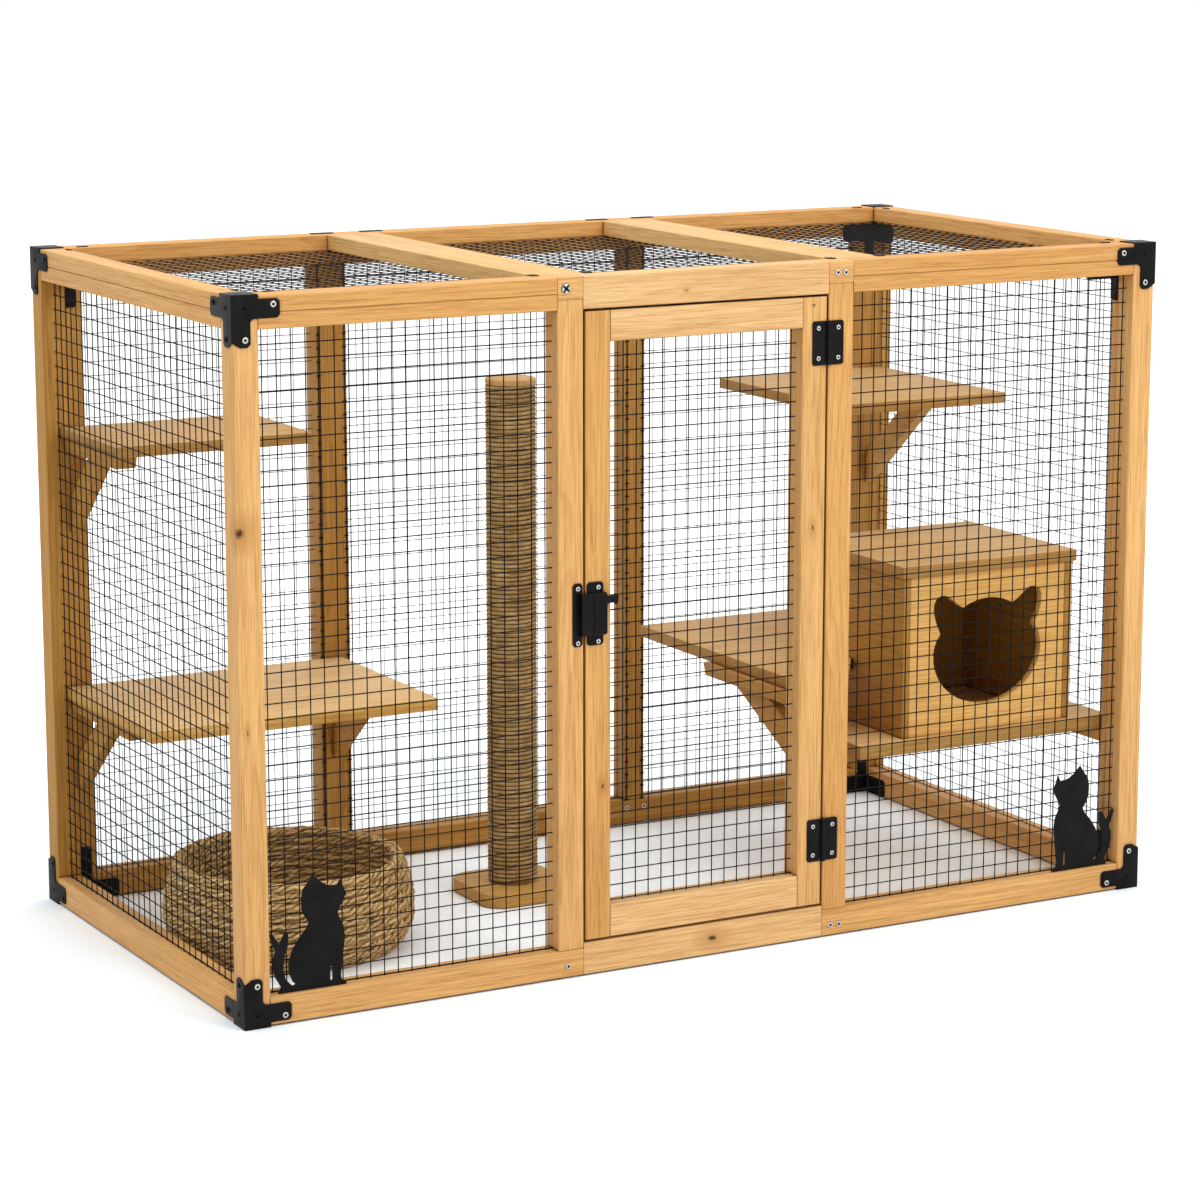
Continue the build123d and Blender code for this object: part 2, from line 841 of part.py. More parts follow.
def sleeping_box():
    x_lo = x_left + box_left
    x_hi = x_lo + box_width
    y_lo = y_front + box_front
    y_hi = y_lo + box_depth
    low = platform_top
    top = platform_top + box_wall_height
    in_lo = x_lo + box_board
    in_hi = x_hi - box_board
    left = block(x_lo, in_lo, y_lo, y_hi, low, top)
    right = block(in_hi, x_hi, y_lo, y_hi, low, top)
    back = block(in_lo, in_hi, y_hi - box_board - box_board_inset, y_hi - box_board_inset, low, top)
    f_lo = y_lo + box_board_inset
    front = block(in_lo, in_hi, f_lo, f_lo + box_board, low, top)
    hole = extrude(Plane.XZ * hole_shape(), box_board + overrun, both=True)
    front = front - Pos((x_lo + x_hi) / 2, f_lo + box_board / 2, low + hole_bottom) * hole
    over = box_roof_overhang
    roof = block(x_lo - over, x_hi + over, y_lo - over, y_hi + over, top, top + box_roof_thickness)
    return {
        "box_walls": group([left, right, back]),
        "box_front": front,
        "box_roof": roof,
    }


def scratching_post():
    place = Pos(x_left + post_place_x, y_front + post_place_y, 0)
    foot = (Align.CENTER, Align.CENTER, Align.MIN)
    base = extrude(RectangleRounded(post_base_side, post_base_side, post_base_corner), post_base_thickness)
    core_top = post_total_height - cap_thickness
    core = Pos(0, 0, post_base_thickness) * Cylinder(
        core_diameter / 2, core_top - post_base_thickness, align=foot
    )
    cap = Pos(0, 0, core_top) * extrude(
        RegularPolygon(core_diameter / 2 + rope_diameter, cap_sides), cap_thickness
    )
    sleeve_low = post_base_thickness + rope_clearance
    sleeve_high = core_top - rope_clearance
    sleeve = Cylinder(core_diameter / 2 + rope_diameter, sleeve_high - sleeve_low, align=foot)
    sleeve -= Pos(0, 0, -overrun) * Cylinder(
        core_diameter / 2 + rope_clearance, sleeve_high + overrun, align=foot
    )
    return {
        "scratch_base": place * base,
        "scratch_core": place * core,
        "scratch_cap": place * cap,
        "scratch_rope": place * Pos(0, 0, sleeve_low) * sleeve,
    }


def basket_ring(radius, z):
    # one many-sided section of the basket
    return Pos(0, 0, z) * RegularPolygon(radius, basket_sides)


def basket():
    # round wall that swells and draws in again, with a flat floor
    step = basket_height / (len(basket_radius_shares) - 1)
    outer = [basket_ring(basket_radius * share, i * step) for i, share in enumerate(basket_radius_shares)]
    rim = basket_radius * basket_radius_shares[-1] - basket_wall
    foot = basket_radius * basket_radius_shares[0] - basket_wall
    inner = [
        basket_ring(foot, basket_floor),
        basket_ring(basket_radius - basket_wall, basket_height / 2),
        basket_ring(rim, basket_height),
        basket_ring(rim, basket_height + overrun),
    ]
    body = loft(outer, ruled=True) - loft(inner, ruled=True)
    return Pos(x_left + basket_place_x, y_front + basket_place_y, 0) * body


def cat_figure():
    # seated cat with a forked tail, cut from sheet, seen from the front
    points = [(sx * cat_width, sz * cat_height) for sx, sz in cat_outline_shares]
    slot = Pos(cat_leg_slot_place, cat_leg_slot_rise + cat_leg_slot_height / 2) * Rectangle(
        cat_leg_slot_width, cat_leg_slot_height
    )
    face = outline(points) - slot
    return extrude(Plane.XZ * face, cat_sheet)


def cat_figures():
    figure = cat_figure()
    y = y_front + cat_setback + cat_sheet
    left = Pos(in_left + cat_post_gap, y, bottom_rail_height) * figure
    right = Pos(in_right - cat_post_gap, y, bottom_rail_height) * mirror(figure, Plane.YZ)
    return group([left, right])


parts = {}
parts.update(corner_posts())
parts.update(door_posts())
parts["post_lap_blocks"] = post_lap_blocks()
parts.update(back_posts())
parts["back_stiles"] = back_stiles()
parts["side_stile"] = side_stile()
parts.update(bottom_rails())
parts.update(top_rails())
parts.update(roof_rails())
parts.update(mesh_panels())
parts.update(door_frame())
parts.update(hinges())
parts["latch_keeper"] = latch_keeper()
parts["latch_case"] = latch_case()
parts["latch_bolt"] = latch_bolt()
parts.update(corner_brackets())
parts["angle_brackets"] = angle_brackets()
parts.update(shelves())
parts.update(shelf_brackets())
parts.update(platform())
parts.update(sleeping_box())
parts.update(scratching_post())
parts["basket"] = basket()
parts["cat_figures"] = cat_figures()

os.makedirs("parts", exist_ok=True)
for name, shape in parts.items():
    export_step(shape, "parts/" + name + ".step")
print(len(parts), "sub-parts")
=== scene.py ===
import math

import bpy
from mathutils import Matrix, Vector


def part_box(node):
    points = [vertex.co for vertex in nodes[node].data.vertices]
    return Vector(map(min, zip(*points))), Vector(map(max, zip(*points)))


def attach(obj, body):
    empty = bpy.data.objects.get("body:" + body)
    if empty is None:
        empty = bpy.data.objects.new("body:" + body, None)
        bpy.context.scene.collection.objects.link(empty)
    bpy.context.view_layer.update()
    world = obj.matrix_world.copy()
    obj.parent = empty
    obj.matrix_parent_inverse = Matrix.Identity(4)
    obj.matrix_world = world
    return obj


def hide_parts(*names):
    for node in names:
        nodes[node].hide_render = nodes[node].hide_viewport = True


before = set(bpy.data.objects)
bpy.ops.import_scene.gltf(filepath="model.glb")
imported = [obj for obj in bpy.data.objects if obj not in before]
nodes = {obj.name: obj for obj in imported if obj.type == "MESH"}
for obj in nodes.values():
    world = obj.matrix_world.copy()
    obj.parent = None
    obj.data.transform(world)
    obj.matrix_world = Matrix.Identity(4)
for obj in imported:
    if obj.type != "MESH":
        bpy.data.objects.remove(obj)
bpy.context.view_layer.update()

MM = 0.001
HALF_LENGTH = 900 * MM
HALF_DEPTH = 450 * MM
HEIGHT = 1200 * MM
# the middles of the two round things that stand inside
POST_PLACE = (-0.136, 0.074)
BASKET_PLACE = (-0.63, -0.022)


# ---------------------------------------------------------------- shaping tools

def clear():
    if bpy.context.mode != "OBJECT":
        bpy.ops.object.mode_set(mode="OBJECT")
    bpy.ops.object.select_all(action="DESELECT")


def pick(piece):
    # the next operators work on this piece alone
    clear()
    piece.select_set(True)
    bpy.context.view_layer.objects.active = piece


def settle(piece):
    # the place goes into the mesh, so the object sits at the origin
    pick(piece)
    bpy.ops.object.transform_apply(location=True, rotation=True, scale=True)


def smooth(piece, degrees):
    pick(piece)
    bpy.ops.object.shade_smooth_by_angle(angle=math.radians(degrees))


def finish_modifiers(piece):
    pick(piece)
    for modifier in list(piece.modifiers):
        bpy.ops.object.modifier_apply(modifier=modifier.name)


def ease_edges(piece, width, segments, degrees):
    # takes off the edges that are sharper than this angle
    bevel = piece.modifiers.new("ease", "BEVEL")
    bevel.width = width
    bevel.segments = segments
    bevel.limit_method = "ANGLE"
    bevel.angle_limit = math.radians(degrees)
    finish_modifiers(piece)


def join(name, pieces):
    clear()
    for piece in pieces:
        piece.select_set(True)
    bpy.context.view_layer.objects.active = pieces[0]
    if len(pieces) > 1:
        bpy.ops.object.join()
    joined = bpy.context.view_layer.objects.active
    joined.name = name
    joined.data.name = name
    return joined


def copy_to(piece, move, turn):
    # a copy with its own mesh, turned about the origin and then moved
    other = piece.copy()
    other.data = piece.data.copy()
    bpy.context.collection.objects.link(other)
    other.rotation_euler = [math.radians(a) for a in turn]
    other.location = move
    settle(other)
    return other


def rod(name, sides, radius, length, middle, turn=(0, 0, 0)):
    clear()
    bpy.ops.mesh.primitive_cylinder_add(
        vertices=sides, radius=radius, depth=length, location=middle,
        rotation=[math.radians(a) for a in turn])
    piece = bpy.context.object
    piece.name = name
    settle(piece)
    return piece


def repeat(piece, count, step):
    array = piece.modifiers.new("row", "ARRAY")
    array.count = count
    array.use_relative_offset = False
    array.use_constant_offset = True
    array.constant_offset_displace = step
    finish_modifiers(piece)


def coat(piece, material):
    piece.data.materials.clear()
    piece.data.materials.append(material)


def give(piece, material, body):
    coat(piece, material)
    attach(piece, body)
    return piece


def eased_copy(name, width, material, body):
    # the CAD piece again, with its sharp edges taken off, so that joints show as fine lines
    piece = bpy.data.objects.new("eased_" + name, nodes[name].data.copy())
    bpy.context.collection.objects.link(piece)
    pick(piece)
    bpy.ops.object.mode_set(mode="EDIT")
    bpy.ops.mesh.select_all(action="SELECT")
    bpy.ops.mesh.remove_doubles(threshold=0.00001)
    bpy.ops.mesh.dissolve_limited(angle_limit=math.radians(0.5))
    bpy.ops.object.mode_set(mode="OBJECT")
    ease_edges(piece, width, 2, 55)
    smooth(piece, 30)
    give(piece, material, body)
    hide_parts(name)
    return piece


# ---------------------------------------------------------------- finishes

def group_node(tree, group, place, **values):
    node = tree.nodes.new("ShaderNodeGroup")
    node.node_tree = group
    node.location = place
    for name, value in values.items():
        node.inputs[name.replace("_", " ")].default_value = value
    return node


def new_group(name, inputs, outputs):
    group = bpy.data.node_groups.new(name, "ShaderNodeTree")
    for label, kind in inputs:
        group.interface.new_socket(label, in_out="INPUT", socket_type=kind)
    for label, kind in outputs:
        group.interface.new_socket(label, in_out="OUTPUT", socket_type=kind)
    group.nodes.new("NodeGroupInput").location = (-1200, 0)
    group.nodes.new("NodeGroupOutput").location = (800, 0)
    return group


def feed(tree, socket, value):
    # a number or a tuple is set on the socket, an output is linked to it, and None leaves it as it is
    if isinstance(value, (int, float, tuple)):
        socket.default_value = value
    elif value is not None:
        tree.links.new(value, socket)


def math_node(tree, operation, a, b, place=(0, 0), clamp=False):
    # b is None where the operation takes one value
    node = tree.nodes.new("ShaderNodeMath")
    node.operation = operation
    node.use_clamp = clamp
    node.location = place
    feed(tree, node.inputs[0], a)
    feed(tree, node.inputs[1], b)
    return node.outputs[0]


def vector_node(tree, operation, a, b, place):
    node = tree.nodes.new("ShaderNodeVectorMath")
    node.operation = operation
    node.location = place
    feed(tree, node.inputs[0], a)
    feed(tree, node.inputs[1], b)
    return node.outputs["Value" if operation == "LENGTH" else "Vector"]


def map_range(tree, value, source, target, place):
    node = tree.nodes.new("ShaderNodeMapRange")
    node.location = place
    node.inputs["From Min"].default_value, node.inputs["From Max"].default_value = source
    node.inputs["To Min"].default_value, node.inputs["To Max"].default_value = target
    tree.links.new(value, node.inputs["Value"])
    return node.outputs[0]


def noise_node(tree, vector, scale, detail, roughness, place):
    node = tree.nodes.new("ShaderNodeTexNoise")
    node.location = place
    feed(tree, node.inputs["Scale"], scale)
    node.inputs["Detail"].default_value = detail
    node.inputs["Roughness"].default_value = roughness
    tree.links.new(vector, node.inputs["Vector"])
    return node.outputs["Fac"]


def ramp(tree, value, stops, place):
    node = tree.nodes.new("ShaderNodeValToRGB")
    node.location = place
    while len(node.color_ramp.elements) < len(stops):
        node.color_ramp.elements.new(0.5)
    for element, (position, colour) in zip(node.color_ramp.elements, stops):
        element.position = position
        element.color = (*colour, 1)
    tree.links.new(value, node.inputs["Fac"])
    return node.outputs["Color"]


def blend_colour(tree, kind, factor, a, b, place):
    node = tree.nodes.new("ShaderNodeMix")
    node.data_type = "RGBA"
    node.blend_type = kind
    node.location = place
    # the sockets of a colour mix: factor, A and B
    for socket, value in ((node.inputs[0], factor), (node.inputs[6], a), (node.inputs[7], b)):
        feed(tree, socket, (*value, 1) if isinstance(value, tuple) else value)
    return node.outputs[2]


# where the ring pattern of planed_grain has its middle
LOG_X = 0.055
LOG_Y = 0.021


def make_grain_group():
    # planed softwood: growth rings, broad streaks and fine fibres that run along Z
    group = new_group(
        "planed_grain",
        [("Vector", "NodeSocketVector"), ("Ring Spacing", "NodeSocketFloat"), ("Wander", "NodeSocketFloat")],
        [("Rings", "NodeSocketFloat"), ("Streaks", "NodeSocketFloat"),
         ("Fibres", "NodeSocketFloat"), ("Tone", "NodeSocketFloat")])
    enter = group.nodes["Group Input"]
    leave = group.nodes["Group Output"]
    vector = enter.outputs["Vector"]
    slow = vector_node(group, "MULTIPLY", vector, (1, 1, 0.07), (-1000, 300))
    warp = noise_node(group, slow, 11.0, 2.0, 0.5, (-800, 300))
    warp = math_node(group, "SUBTRACT", warp, 0.5, (-620, 300))
    warp = math_node(group, "MULTIPLY", warp, enter.outputs["Wander"], (-620, 200))
    parts = group.nodes.new("ShaderNodeSeparateXYZ")
    parts.location = (-1000, 0)
    group.links.new(vector, parts.inputs[0])
    across = math_node(group, "ADD", parts.outputs["X"], LOG_X, (-800, 60))
    deep = math_node(group, "ADD", parts.outputs["Y"], LOG_Y, (-800, -60))
    square = math_node(group, "ADD", math_node(group, "MULTIPLY", across, across, (-640, 60)),
                       math_node(group, "MULTIPLY", deep, deep, (-640, -60)), (-480, 0))
    radius = math_node(group, "SQRT", square, None, (-340, 0))
    warp_size = math_node(group, "MULTIPLY", warp, 0.045, (-480, 200))
    radius = math_node(group, "ADD", radius, warp_size, (-200, 60))
    # the ring spacing is given in millimetres
    radius = math_node(group, "MULTIPLY", radius, 1000.0, (-60, 60))
    turns = math_node(group, "DIVIDE", radius, enter.outputs["Ring Spacing"], (80, 60))
    wave = math_node(group, "FRACT", turns, None, (220, 60))
    late = math_node(group, "POWER", wave, 3.0, (360, 60))
    fall = math_node(group, "SMOOTH_MIN", late, 0.85, (500, 60))
    group.links.new(fall, leave.inputs["Rings"])
    broad = vector_node(group, "MULTIPLY", vector, (1, 1, 0.045), (-1000, -250))
    streaks = noise_node(group, broad, 70.0, 3.0, 0.55, (-800, -250))
    group.links.new(streaks, leave.inputs["Streaks"])
    fine = vector_node(group, "MULTIPLY", vector, (1, 1, 0.02), (-1000, -450))
    fibres = noise_node(group, fine, 620.0, 4.0, 0.68, (-800, -450))
    group.links.new(fibres, leave.inputs["Fibres"])
    long = vector_node(group, "MULTIPLY", vector, (1, 1, 0.25), (-1000, -650))
    tone = noise_node(group, long, 4.0, 2.0, 0.5, (-800, -650))
    group.links.new(tone, leave.inputs["Tone"])
    return group


def make_knot_group():
    # one knot at a place: a dark core and a soft halo that fades out round it
    group = new_group(
        "knot",
        [("Vector", "NodeSocketVector"), ("Place", "NodeSocketVector"), ("Reach", "NodeSocketVector")],
        [("Core", "NodeSocketFloat"), ("Halo", "NodeSocketFloat")])
    enter = group.nodes["Group Input"]
    leave = group.nodes["Group Output"]
    away = vector_node(group, "SUBTRACT", enter.outputs["Vector"], enter.outputs["Place"], (-1000, 0))
    share = vector_node(group, "DIVIDE", away, enter.outputs["Reach"], (-800, 0))
    size = vector_node(group, "LENGTH", share, None, (-600, 0))
    rough = noise_node(group, enter.outputs["Vector"], 160.0, 2.0, 0.5, (-600, -300))
    rough = math_node(group, "MULTIPLY", rough, 0.7, (-400, -300))
    distance = math_node(group, "ADD", size, rough, (-200, 0))
    core = math_node(group, "SUBTRACT", 1.15, distance, (200, 100), True)
    fade = math_node(group, "MULTIPLY", distance, 0.3, (0, -100))
    halo = math_node(group, "SUBTRACT", 1.2, fade, (200, -100), True)
    group.links.new(core, leave.inputs["Core"])
    group.links.new(halo, leave.inputs["Halo"])
    return group


def make_wear_group():
    # slow mottling and fine grit for metal
    group = new_group(
        "scuffs",
        [("Vector", "NodeSocketVector"), ("Scale", "NodeSocketFloat")],
        [("Mottle", "NodeSocketFloat"), ("Grit", "NodeSocketFloat")])
    enter = group.nodes["Group Input"]
    leave = group.nodes["Group Output"]
    slow = noise_node(group, enter.outputs["Vector"], 30.0, 2.0, 0.5, (-700, 100))
    group.links.new(slow, leave.inputs["Mottle"])
    grit = noise_node(group, enter.outputs["Vector"], enter.outputs["Scale"], 4.0, 0.5, (-700, -200))
    group.links.new(grit, leave.inputs["Grit"])
    return group


def make_wound_group():
    # rope fibre that runs round an upright axis: fine fibres, broader strips, and the distance from the axis
    group = new_group(
        "wound_fibre",
        [("Vector", "NodeSocketVector"), ("Centre", "NodeSocketVector"), ("Stretch", "NodeSocketFloat")],
        [("Fibre", "NodeSocketFloat"), ("Strip", "NodeSocketFloat"), ("Reach", "NodeSocketFloat")])
    enter = group.nodes["Group Input"]
    leave = group.nodes["Group Output"]
    away = vector_node(group, "SUBTRACT", enter.outputs["Vector"], enter.outputs["Centre"], (-1000, 0))
    parts = group.nodes.new("ShaderNodeSeparateXYZ")
    parts.location = (-800, 100)
    group.links.new(away, parts.inputs[0])
    turn = math_node(group, "ARCTAN2", parts.outputs["Y"], parts.outputs["X"], (-600, 100))
    along = math_node(group, "MULTIPLY", turn, enter.outputs["Stretch"], (-400, 100))
    level = vector_node(group, "MULTIPLY", away, (1, 1, 0), (-800, -100))
    reach = vector_node(group, "LENGTH", level, None, (-600, -100))
    unrolled = group.nodes.new("ShaderNodeCombineXYZ")
    unrolled.location = (-200, 0)
    group.links.new(along, unrolled.inputs["X"])
    group.links.new(parts.outputs["Z"], unrolled.inputs["Y"])
    group.links.new(reach, unrolled.inputs["Z"])
    fibre = noise_node(group, unrolled.outputs[0], 520.0, 3.0, 0.65, (100, 100))
    strip = noise_node(group, unrolled.outputs[0], 150.0, 2.0, 0.5, (100, -100))
    group.links.new(fibre, leave.inputs["Fibre"])
    group.links.new(strip, leave.inputs["Strip"])
    group.links.new(reach, leave.inputs["Reach"])
    return group


GRAIN = make_grain_group()
KNOT = make_knot_group()
SCUFFS = make_wear_group()
WOUND = make_wound_group()


def new_material(name):
    material = bpy.data.materials.new(name)
    material.use_nodes = True
    tree = material.node_tree
    shader = tree.nodes["Principled BSDF"]
    shader.location = (600, 0)
    place = tree.nodes.new("ShaderNodeTexCoord")
    place.location = (-1500, 0)
    return material, tree, shader, place.outputs


def bump(tree, shader, height, strength, distance, place=(300, -300)):
    node = tree.nodes.new("ShaderNodeBump")
    node.location = place
    node.inputs["Strength"].default_value = strength
    node.inputs["Distance"].default_value = distance
    tree.links.new(height, node.inputs["Height"])
    tree.links.new(node.outputs["Normal"], shader.inputs["Normal"])


WHITE = (1, 1, 1)
KNOT_CORE = (0.06, 0.021, 0.004)
# the turn that lays an axis along Z for the grain
GRAIN_TURN = {"Z": (0, 0, 0), "X": (0, math.radians(90), 0), "Y": (math.radians(90), 0, 0)}


def turned(point, along):
    # where a place lies once the grain's axis has been laid along Z
    x, y, z = point
    return {"Z": (x, y, z), "X": (z, y, -x), "Y": (x, -z, y)}[along]


def darker(colour, share):
    # wood turns redder as it darkens: green and blue fall faster
    return (colour[0] * share, colour[1] * share ** 1.45, colour[2] * share ** 2.1)


def timber_finish(name, along, colour, heart=(0, 0, 0), shift=0.0, knots=(),
                  spacing=5.0, wander=1.0, depth=0.76):
    # oiled softwood with the grain along one axis; heart is a place in the log's middle,
    # shift moves the pattern along the grain, depth is how light the late wood of a ring stays
    material, tree, shader, place = new_material(name)
    lay = tree.nodes.new("ShaderNodeMapping")
    lay.location = (-1100, 0)
    lay.inputs["Rotation"].default_value = GRAIN_TURN[along]
    centre = turned(heart, along)
    lay.inputs["Location"].default_value = (-centre[0] - LOG_X, -centre[1] - LOG_Y, shift)
    tree.links.new(place["Object"], lay.inputs["Vector"])
    grain = group_node(tree, GRAIN, (-850, 0), Ring_Spacing=spacing, Wander=wander)
    tree.links.new(lay.outputs[0], grain.inputs["Vector"])
    dark = darker(colour, depth)
    tone = ramp(tree, grain.outputs["Tone"], [(0.3, colour), (0.72, darker(colour, 0.90))], (-600, 200))
    rings = math_node(tree, "MULTIPLY", grain.outputs["Rings"], 0.55, (-600, 0))
    shade = blend_colour(tree, "MIX", rings, tone, dark, (-300, 150))
    streaks = ramp(tree, grain.outputs["Streaks"], [(0.36, (0.84, 0.76, 0.66)), (0.60, WHITE)], (-600, -150))
    shade = blend_colour(tree, "MULTIPLY", 0.55, shade, streaks, (-120, 150))
    fibres = ramp(tree, grain.outputs["Fibres"], [(0.37, (0.60, 0.45, 0.30)), (0.53, WHITE)], (-600, -400))
    shade = blend_colour(tree, "MULTIPLY", 0.66, shade, fibres, (60, 150))
    for spot, reach in knots:
        knot = group_node(tree, KNOT, (-300, 500), Place=spot, Reach=reach)
        tree.links.new(place["Object"], knot.inputs["Vector"])
        halo = math_node(tree, "MULTIPLY", knot.outputs["Halo"], 0.95, (-100, 500))
        shade = blend_colour(tree, "MIX", halo, shade, darker(colour, 0.62), (100, 400))
        core = math_node(tree, "MULTIPLY", knot.outputs["Core"], 1.8, (-100, 650), True)
        shade = blend_colour(tree, "MIX", core, shade, KNOT_CORE, (250, 400))
    # painted shade: the colour darkens where another surface lies within a few millimetres, so joints between
    # two timbers show as fine dark lines
    painted_joint_shade = tree.nodes.new("ShaderNodeAmbientOcclusion")
    painted_joint_shade.location = (200, 650)
    painted_joint_shade.samples = 4
    painted_joint_shade.inputs["Distance"].default_value = 6 * MM
    shadow = ramp(tree, painted_joint_shade.outputs["AO"], [(0.25, (0.16, 0.08, 0.03)), (0.85, WHITE)], (350, 650))
    shade = blend_colour(tree, "MULTIPLY", 1.0, shade, shadow, (450, 500))
    tree.links.new(shade, shader.inputs["Base Color"])
    rough = map_range(tree, grain.outputs["Fibres"], (0, 1), (0.45, 0.62), (200, -150))
    tree.links.new(rough, shader.inputs["Roughness"])
    shader.inputs["IOR"].default_value = 1.45
    shader.inputs["Specular IOR Level"].default_value = 0.3
    height = math_node(tree, "ADD", math_node(tree, "MULTIPLY", grain.outputs["Fibres"], 0.5, (0, -400)),
                       math_node(tree, "MULTIPLY", grain.outputs["Rings"], 0.3, (0, -500)), (150, -400))
    bump(tree, shader, height, 0.25, 0.0004)
    return material


# linear colours: frame timber, boards, edges of the boards, sleeping box; the inner pine, the shady board and
# the box's sides are darkened as painted shade, and the lit board and lit edge are brightened as painted
# light
PINE = (0.865, 0.515, 0.195)
PINE_PALE = (0.925, 0.61, 0.29)
PINE_HONEY = (0.81, 0.45, 0.15)
# painted shade: the frame colour darkened for the timbers inside and at the back
PINE_PAINTED_SHADE = (0.60, 0.325, 0.070)
BOARD = (0.73, 0.47, 0.20)
BOARD_SHADY = (0.70, 0.42, 0.115)
BOARD_LIT = (1.0, 0.70, 0.34)
PLATFORM_BOARD = (0.86, 0.56, 0.25)
ROOF_BOARD = (0.84, 0.56, 0.235)
BOARD_EDGE = (0.53, 0.30, 0.08)
LIT_EDGE = (0.82, 0.50, 0.14)
BOX_BOARD = (0.93, 0.56, 0.175)
# painted shade: the box colour darkened for its side walls
BOX_SIDE_PAINTED_SHADE = (0.52, 0.275, 0.052)


def coated_metal(name, colour, roughness):
    # matt black paint on sheet or wire
    material, tree, shader, place = new_material(name)
    marks = group_node(tree, SCUFFS, (-600, 0), Scale=900.0)
    tree.links.new(place["Object"], marks.inputs["Vector"])
    light = tuple(c * 1.9 + 0.002 for c in colour)
    shade = ramp(tree, marks.outputs["Mottle"], [(0.35, colour), (0.75, light)], (-300, 100))
    tree.links.new(shade, shader.inputs["Base Color"])
    rough = map_range(tree, marks.outputs["Mottle"], (0, 1), (roughness - 0.06, roughness + 0.1),
                      (-300, -150))
    tree.links.new(rough, shader.inputs["Roughness"])
    shader.inputs["Specular IOR Level"].default_value = 0.13
    bump(tree, shader, marks.outputs["Grit"], 0.3, 0.0002)
    return material


def bright_metal(name, colour, roughness):
    # bare metal of screws and nails
    material, tree, shader, place = new_material(name)
    marks = group_node(tree, SCUFFS, (-600, 0), Scale=1500.0)
    tree.links.new(place["Object"], marks.inputs["Vector"])
    dull = tuple(c * 0.75 for c in colour)
    shade = ramp(tree, marks.outputs["Grit"], [(0.3, dull), (0.7, colour)], (-300, 100))
    tree.links.new(shade, shader.inputs["Base Color"])
    shader.inputs["Metallic"].default_value = 1.0
    shader.inputs["Roughness"].default_value = roughness
    bump(tree, shader, marks.outputs["Grit"], 0.15, 0.0001)
    return material


def rope_finish(name, dark, middle, light, centre, weights, stretch, bump_depth, crease_shade=None):
    # twisted fibre wound round an upright axis: the fibres run round it, and the UV map's
    # second value is high on a strand's crown; weights are the shares of strand, fibre, strip and patch,
    # where the strand share is painted highlight on the crowns and painted shade between strands, the rest
    # the fibre's own tone
    material, tree, shader, place = new_material(name)
    chart = tree.nodes.new("ShaderNodeSeparateXYZ")
    chart.location = (-600, 200)
    tree.links.new(place["UV"], chart.inputs[0])
    wound = group_node(tree, WOUND, (-600, -100), Centre=(*centre, 0), Stretch=stretch)
    tree.links.new(place["Object"], wound.inputs["Vector"])
    fibre = wound.outputs["Fibre"]
    strip = wound.outputs["Strip"]
    patch = noise_node(tree, place["Object"], 22.0, 3.0, 0.6, (-300, -550))
    mix = math_node(tree, "MULTIPLY", chart.outputs["Y"], weights[0], (-100, 100))
    for value, weight, x in ((fibre, weights[1], 50), (strip, weights[2], 150), (patch, weights[3], 250)):
        share = math_node(tree, "MULTIPLY", value, weight, (x - 100, -200))
        mix = math_node(tree, "ADD", mix, share, (x, 0))
    colour = ramp(tree, mix, [(0.34, dark), (0.56, middle), (0.80, light)], (350, 100))
    if crease_shade:
        # painted shade: darker where the turns meet, between these two distances from the axis
        near = map_range(tree, wound.outputs["Reach"], crease_shade, (1, 0), (250, 250))
        colour = blend_colour(tree, "MIX", near, colour, tuple(c * 0.55 for c in dark), (450, 200))
    tree.links.new(colour, shader.inputs["Base Color"])
    shader.inputs["Roughness"].default_value = 0.8
    shader.inputs["Specular IOR Level"].default_value = 0.2
    height = math_node(tree, "ADD", math_node(tree, "MULTIPLY", fibre, 0.7, (250, -350)),
                       math_node(tree, "MULTIPLY", strip, 0.6, (250, -450)), (400, -350))
    bump(tree, shader, height, 0.8, bump_depth, (450, -300))
    return material


black_sheet = coated_metal("black_coated_sheet", (0.0030, 0.0030, 0.0033), 0.37)
black_wire = coated_metal("black_coated_wire", (0.004, 0.004, 0.004), 0.5)
zinc = bright_metal("zinc_screw", (0.80, 0.79, 0.76), 0.3)
# painted shade for the sunk drives, and for the cross and sides of the round screw head
painted_shade_steel = bright_metal("painted_shade_steel", (0.04, 0.035, 0.03), 0.5)
brass = bright_metal("brass_nail", (0.62, 0.42, 0.16), 0.35)
sisal = rope_finish(
    "sisal_rope", (0.10, 0.050, 0.014), (0.40, 0.255, 0.095), (0.74, 0.54, 0.27), POST_PLACE,
    weights=(0.06, 0.40, 0.40, 0.30), stretch=0.012, bump_depth=0.0010, crease_shade=(0.0436, 0.0454))
# the seagrass's strand share is large: painted highlight on the strands' crowns and painted shade in the gaps
seagrass = rope_finish(
    "seagrass_rope", (0.014, 0.006, 0.001), (0.25, 0.142, 0.042), (1.0, 0.71, 0.34), BASKET_PLACE,
    weights=(0.30, 0.50, 0.30, 0.06), stretch=0.07, bump_depth=0.002)


# ---------------------------------------------------------------- finishes of the CAD nodes

for name in ("hinge_leaves_post", "hinge_leaves_door", "hinge_pins",
             "latch_keeper", "latch_case", "latch_bolt", "cat_figures"):
    coat(nodes[name], black_sheet)
coat(nodes["scratch_core"], timber_finish("core_board", "Z", BOARD))

# piece: its knots, each with a place and how far the core reaches
KNOTS = {
    "post_front_left": [((-0.894, -0.45, 0.822), (0.012, 0.009, 0.013)),
                        ((-0.886, -0.45, 0.496), (0.002, 0.005, 0.007))],
    "door_stile_latch": [((-0.235, -0.45, 0.33), (0.004, 0.005, 0.008))],
    "door_stile_hinge": [((0.18, -0.45, 0.74), (0.003, 0.005, 0.007))],
    "door_sill": [((-0.017, -0.45, 0.031), (0.014, 0.010, 0.008))],
    "door_header": [((-0.075, -0.45, 1.166), (0.003, 0.004, 0.002))],
}
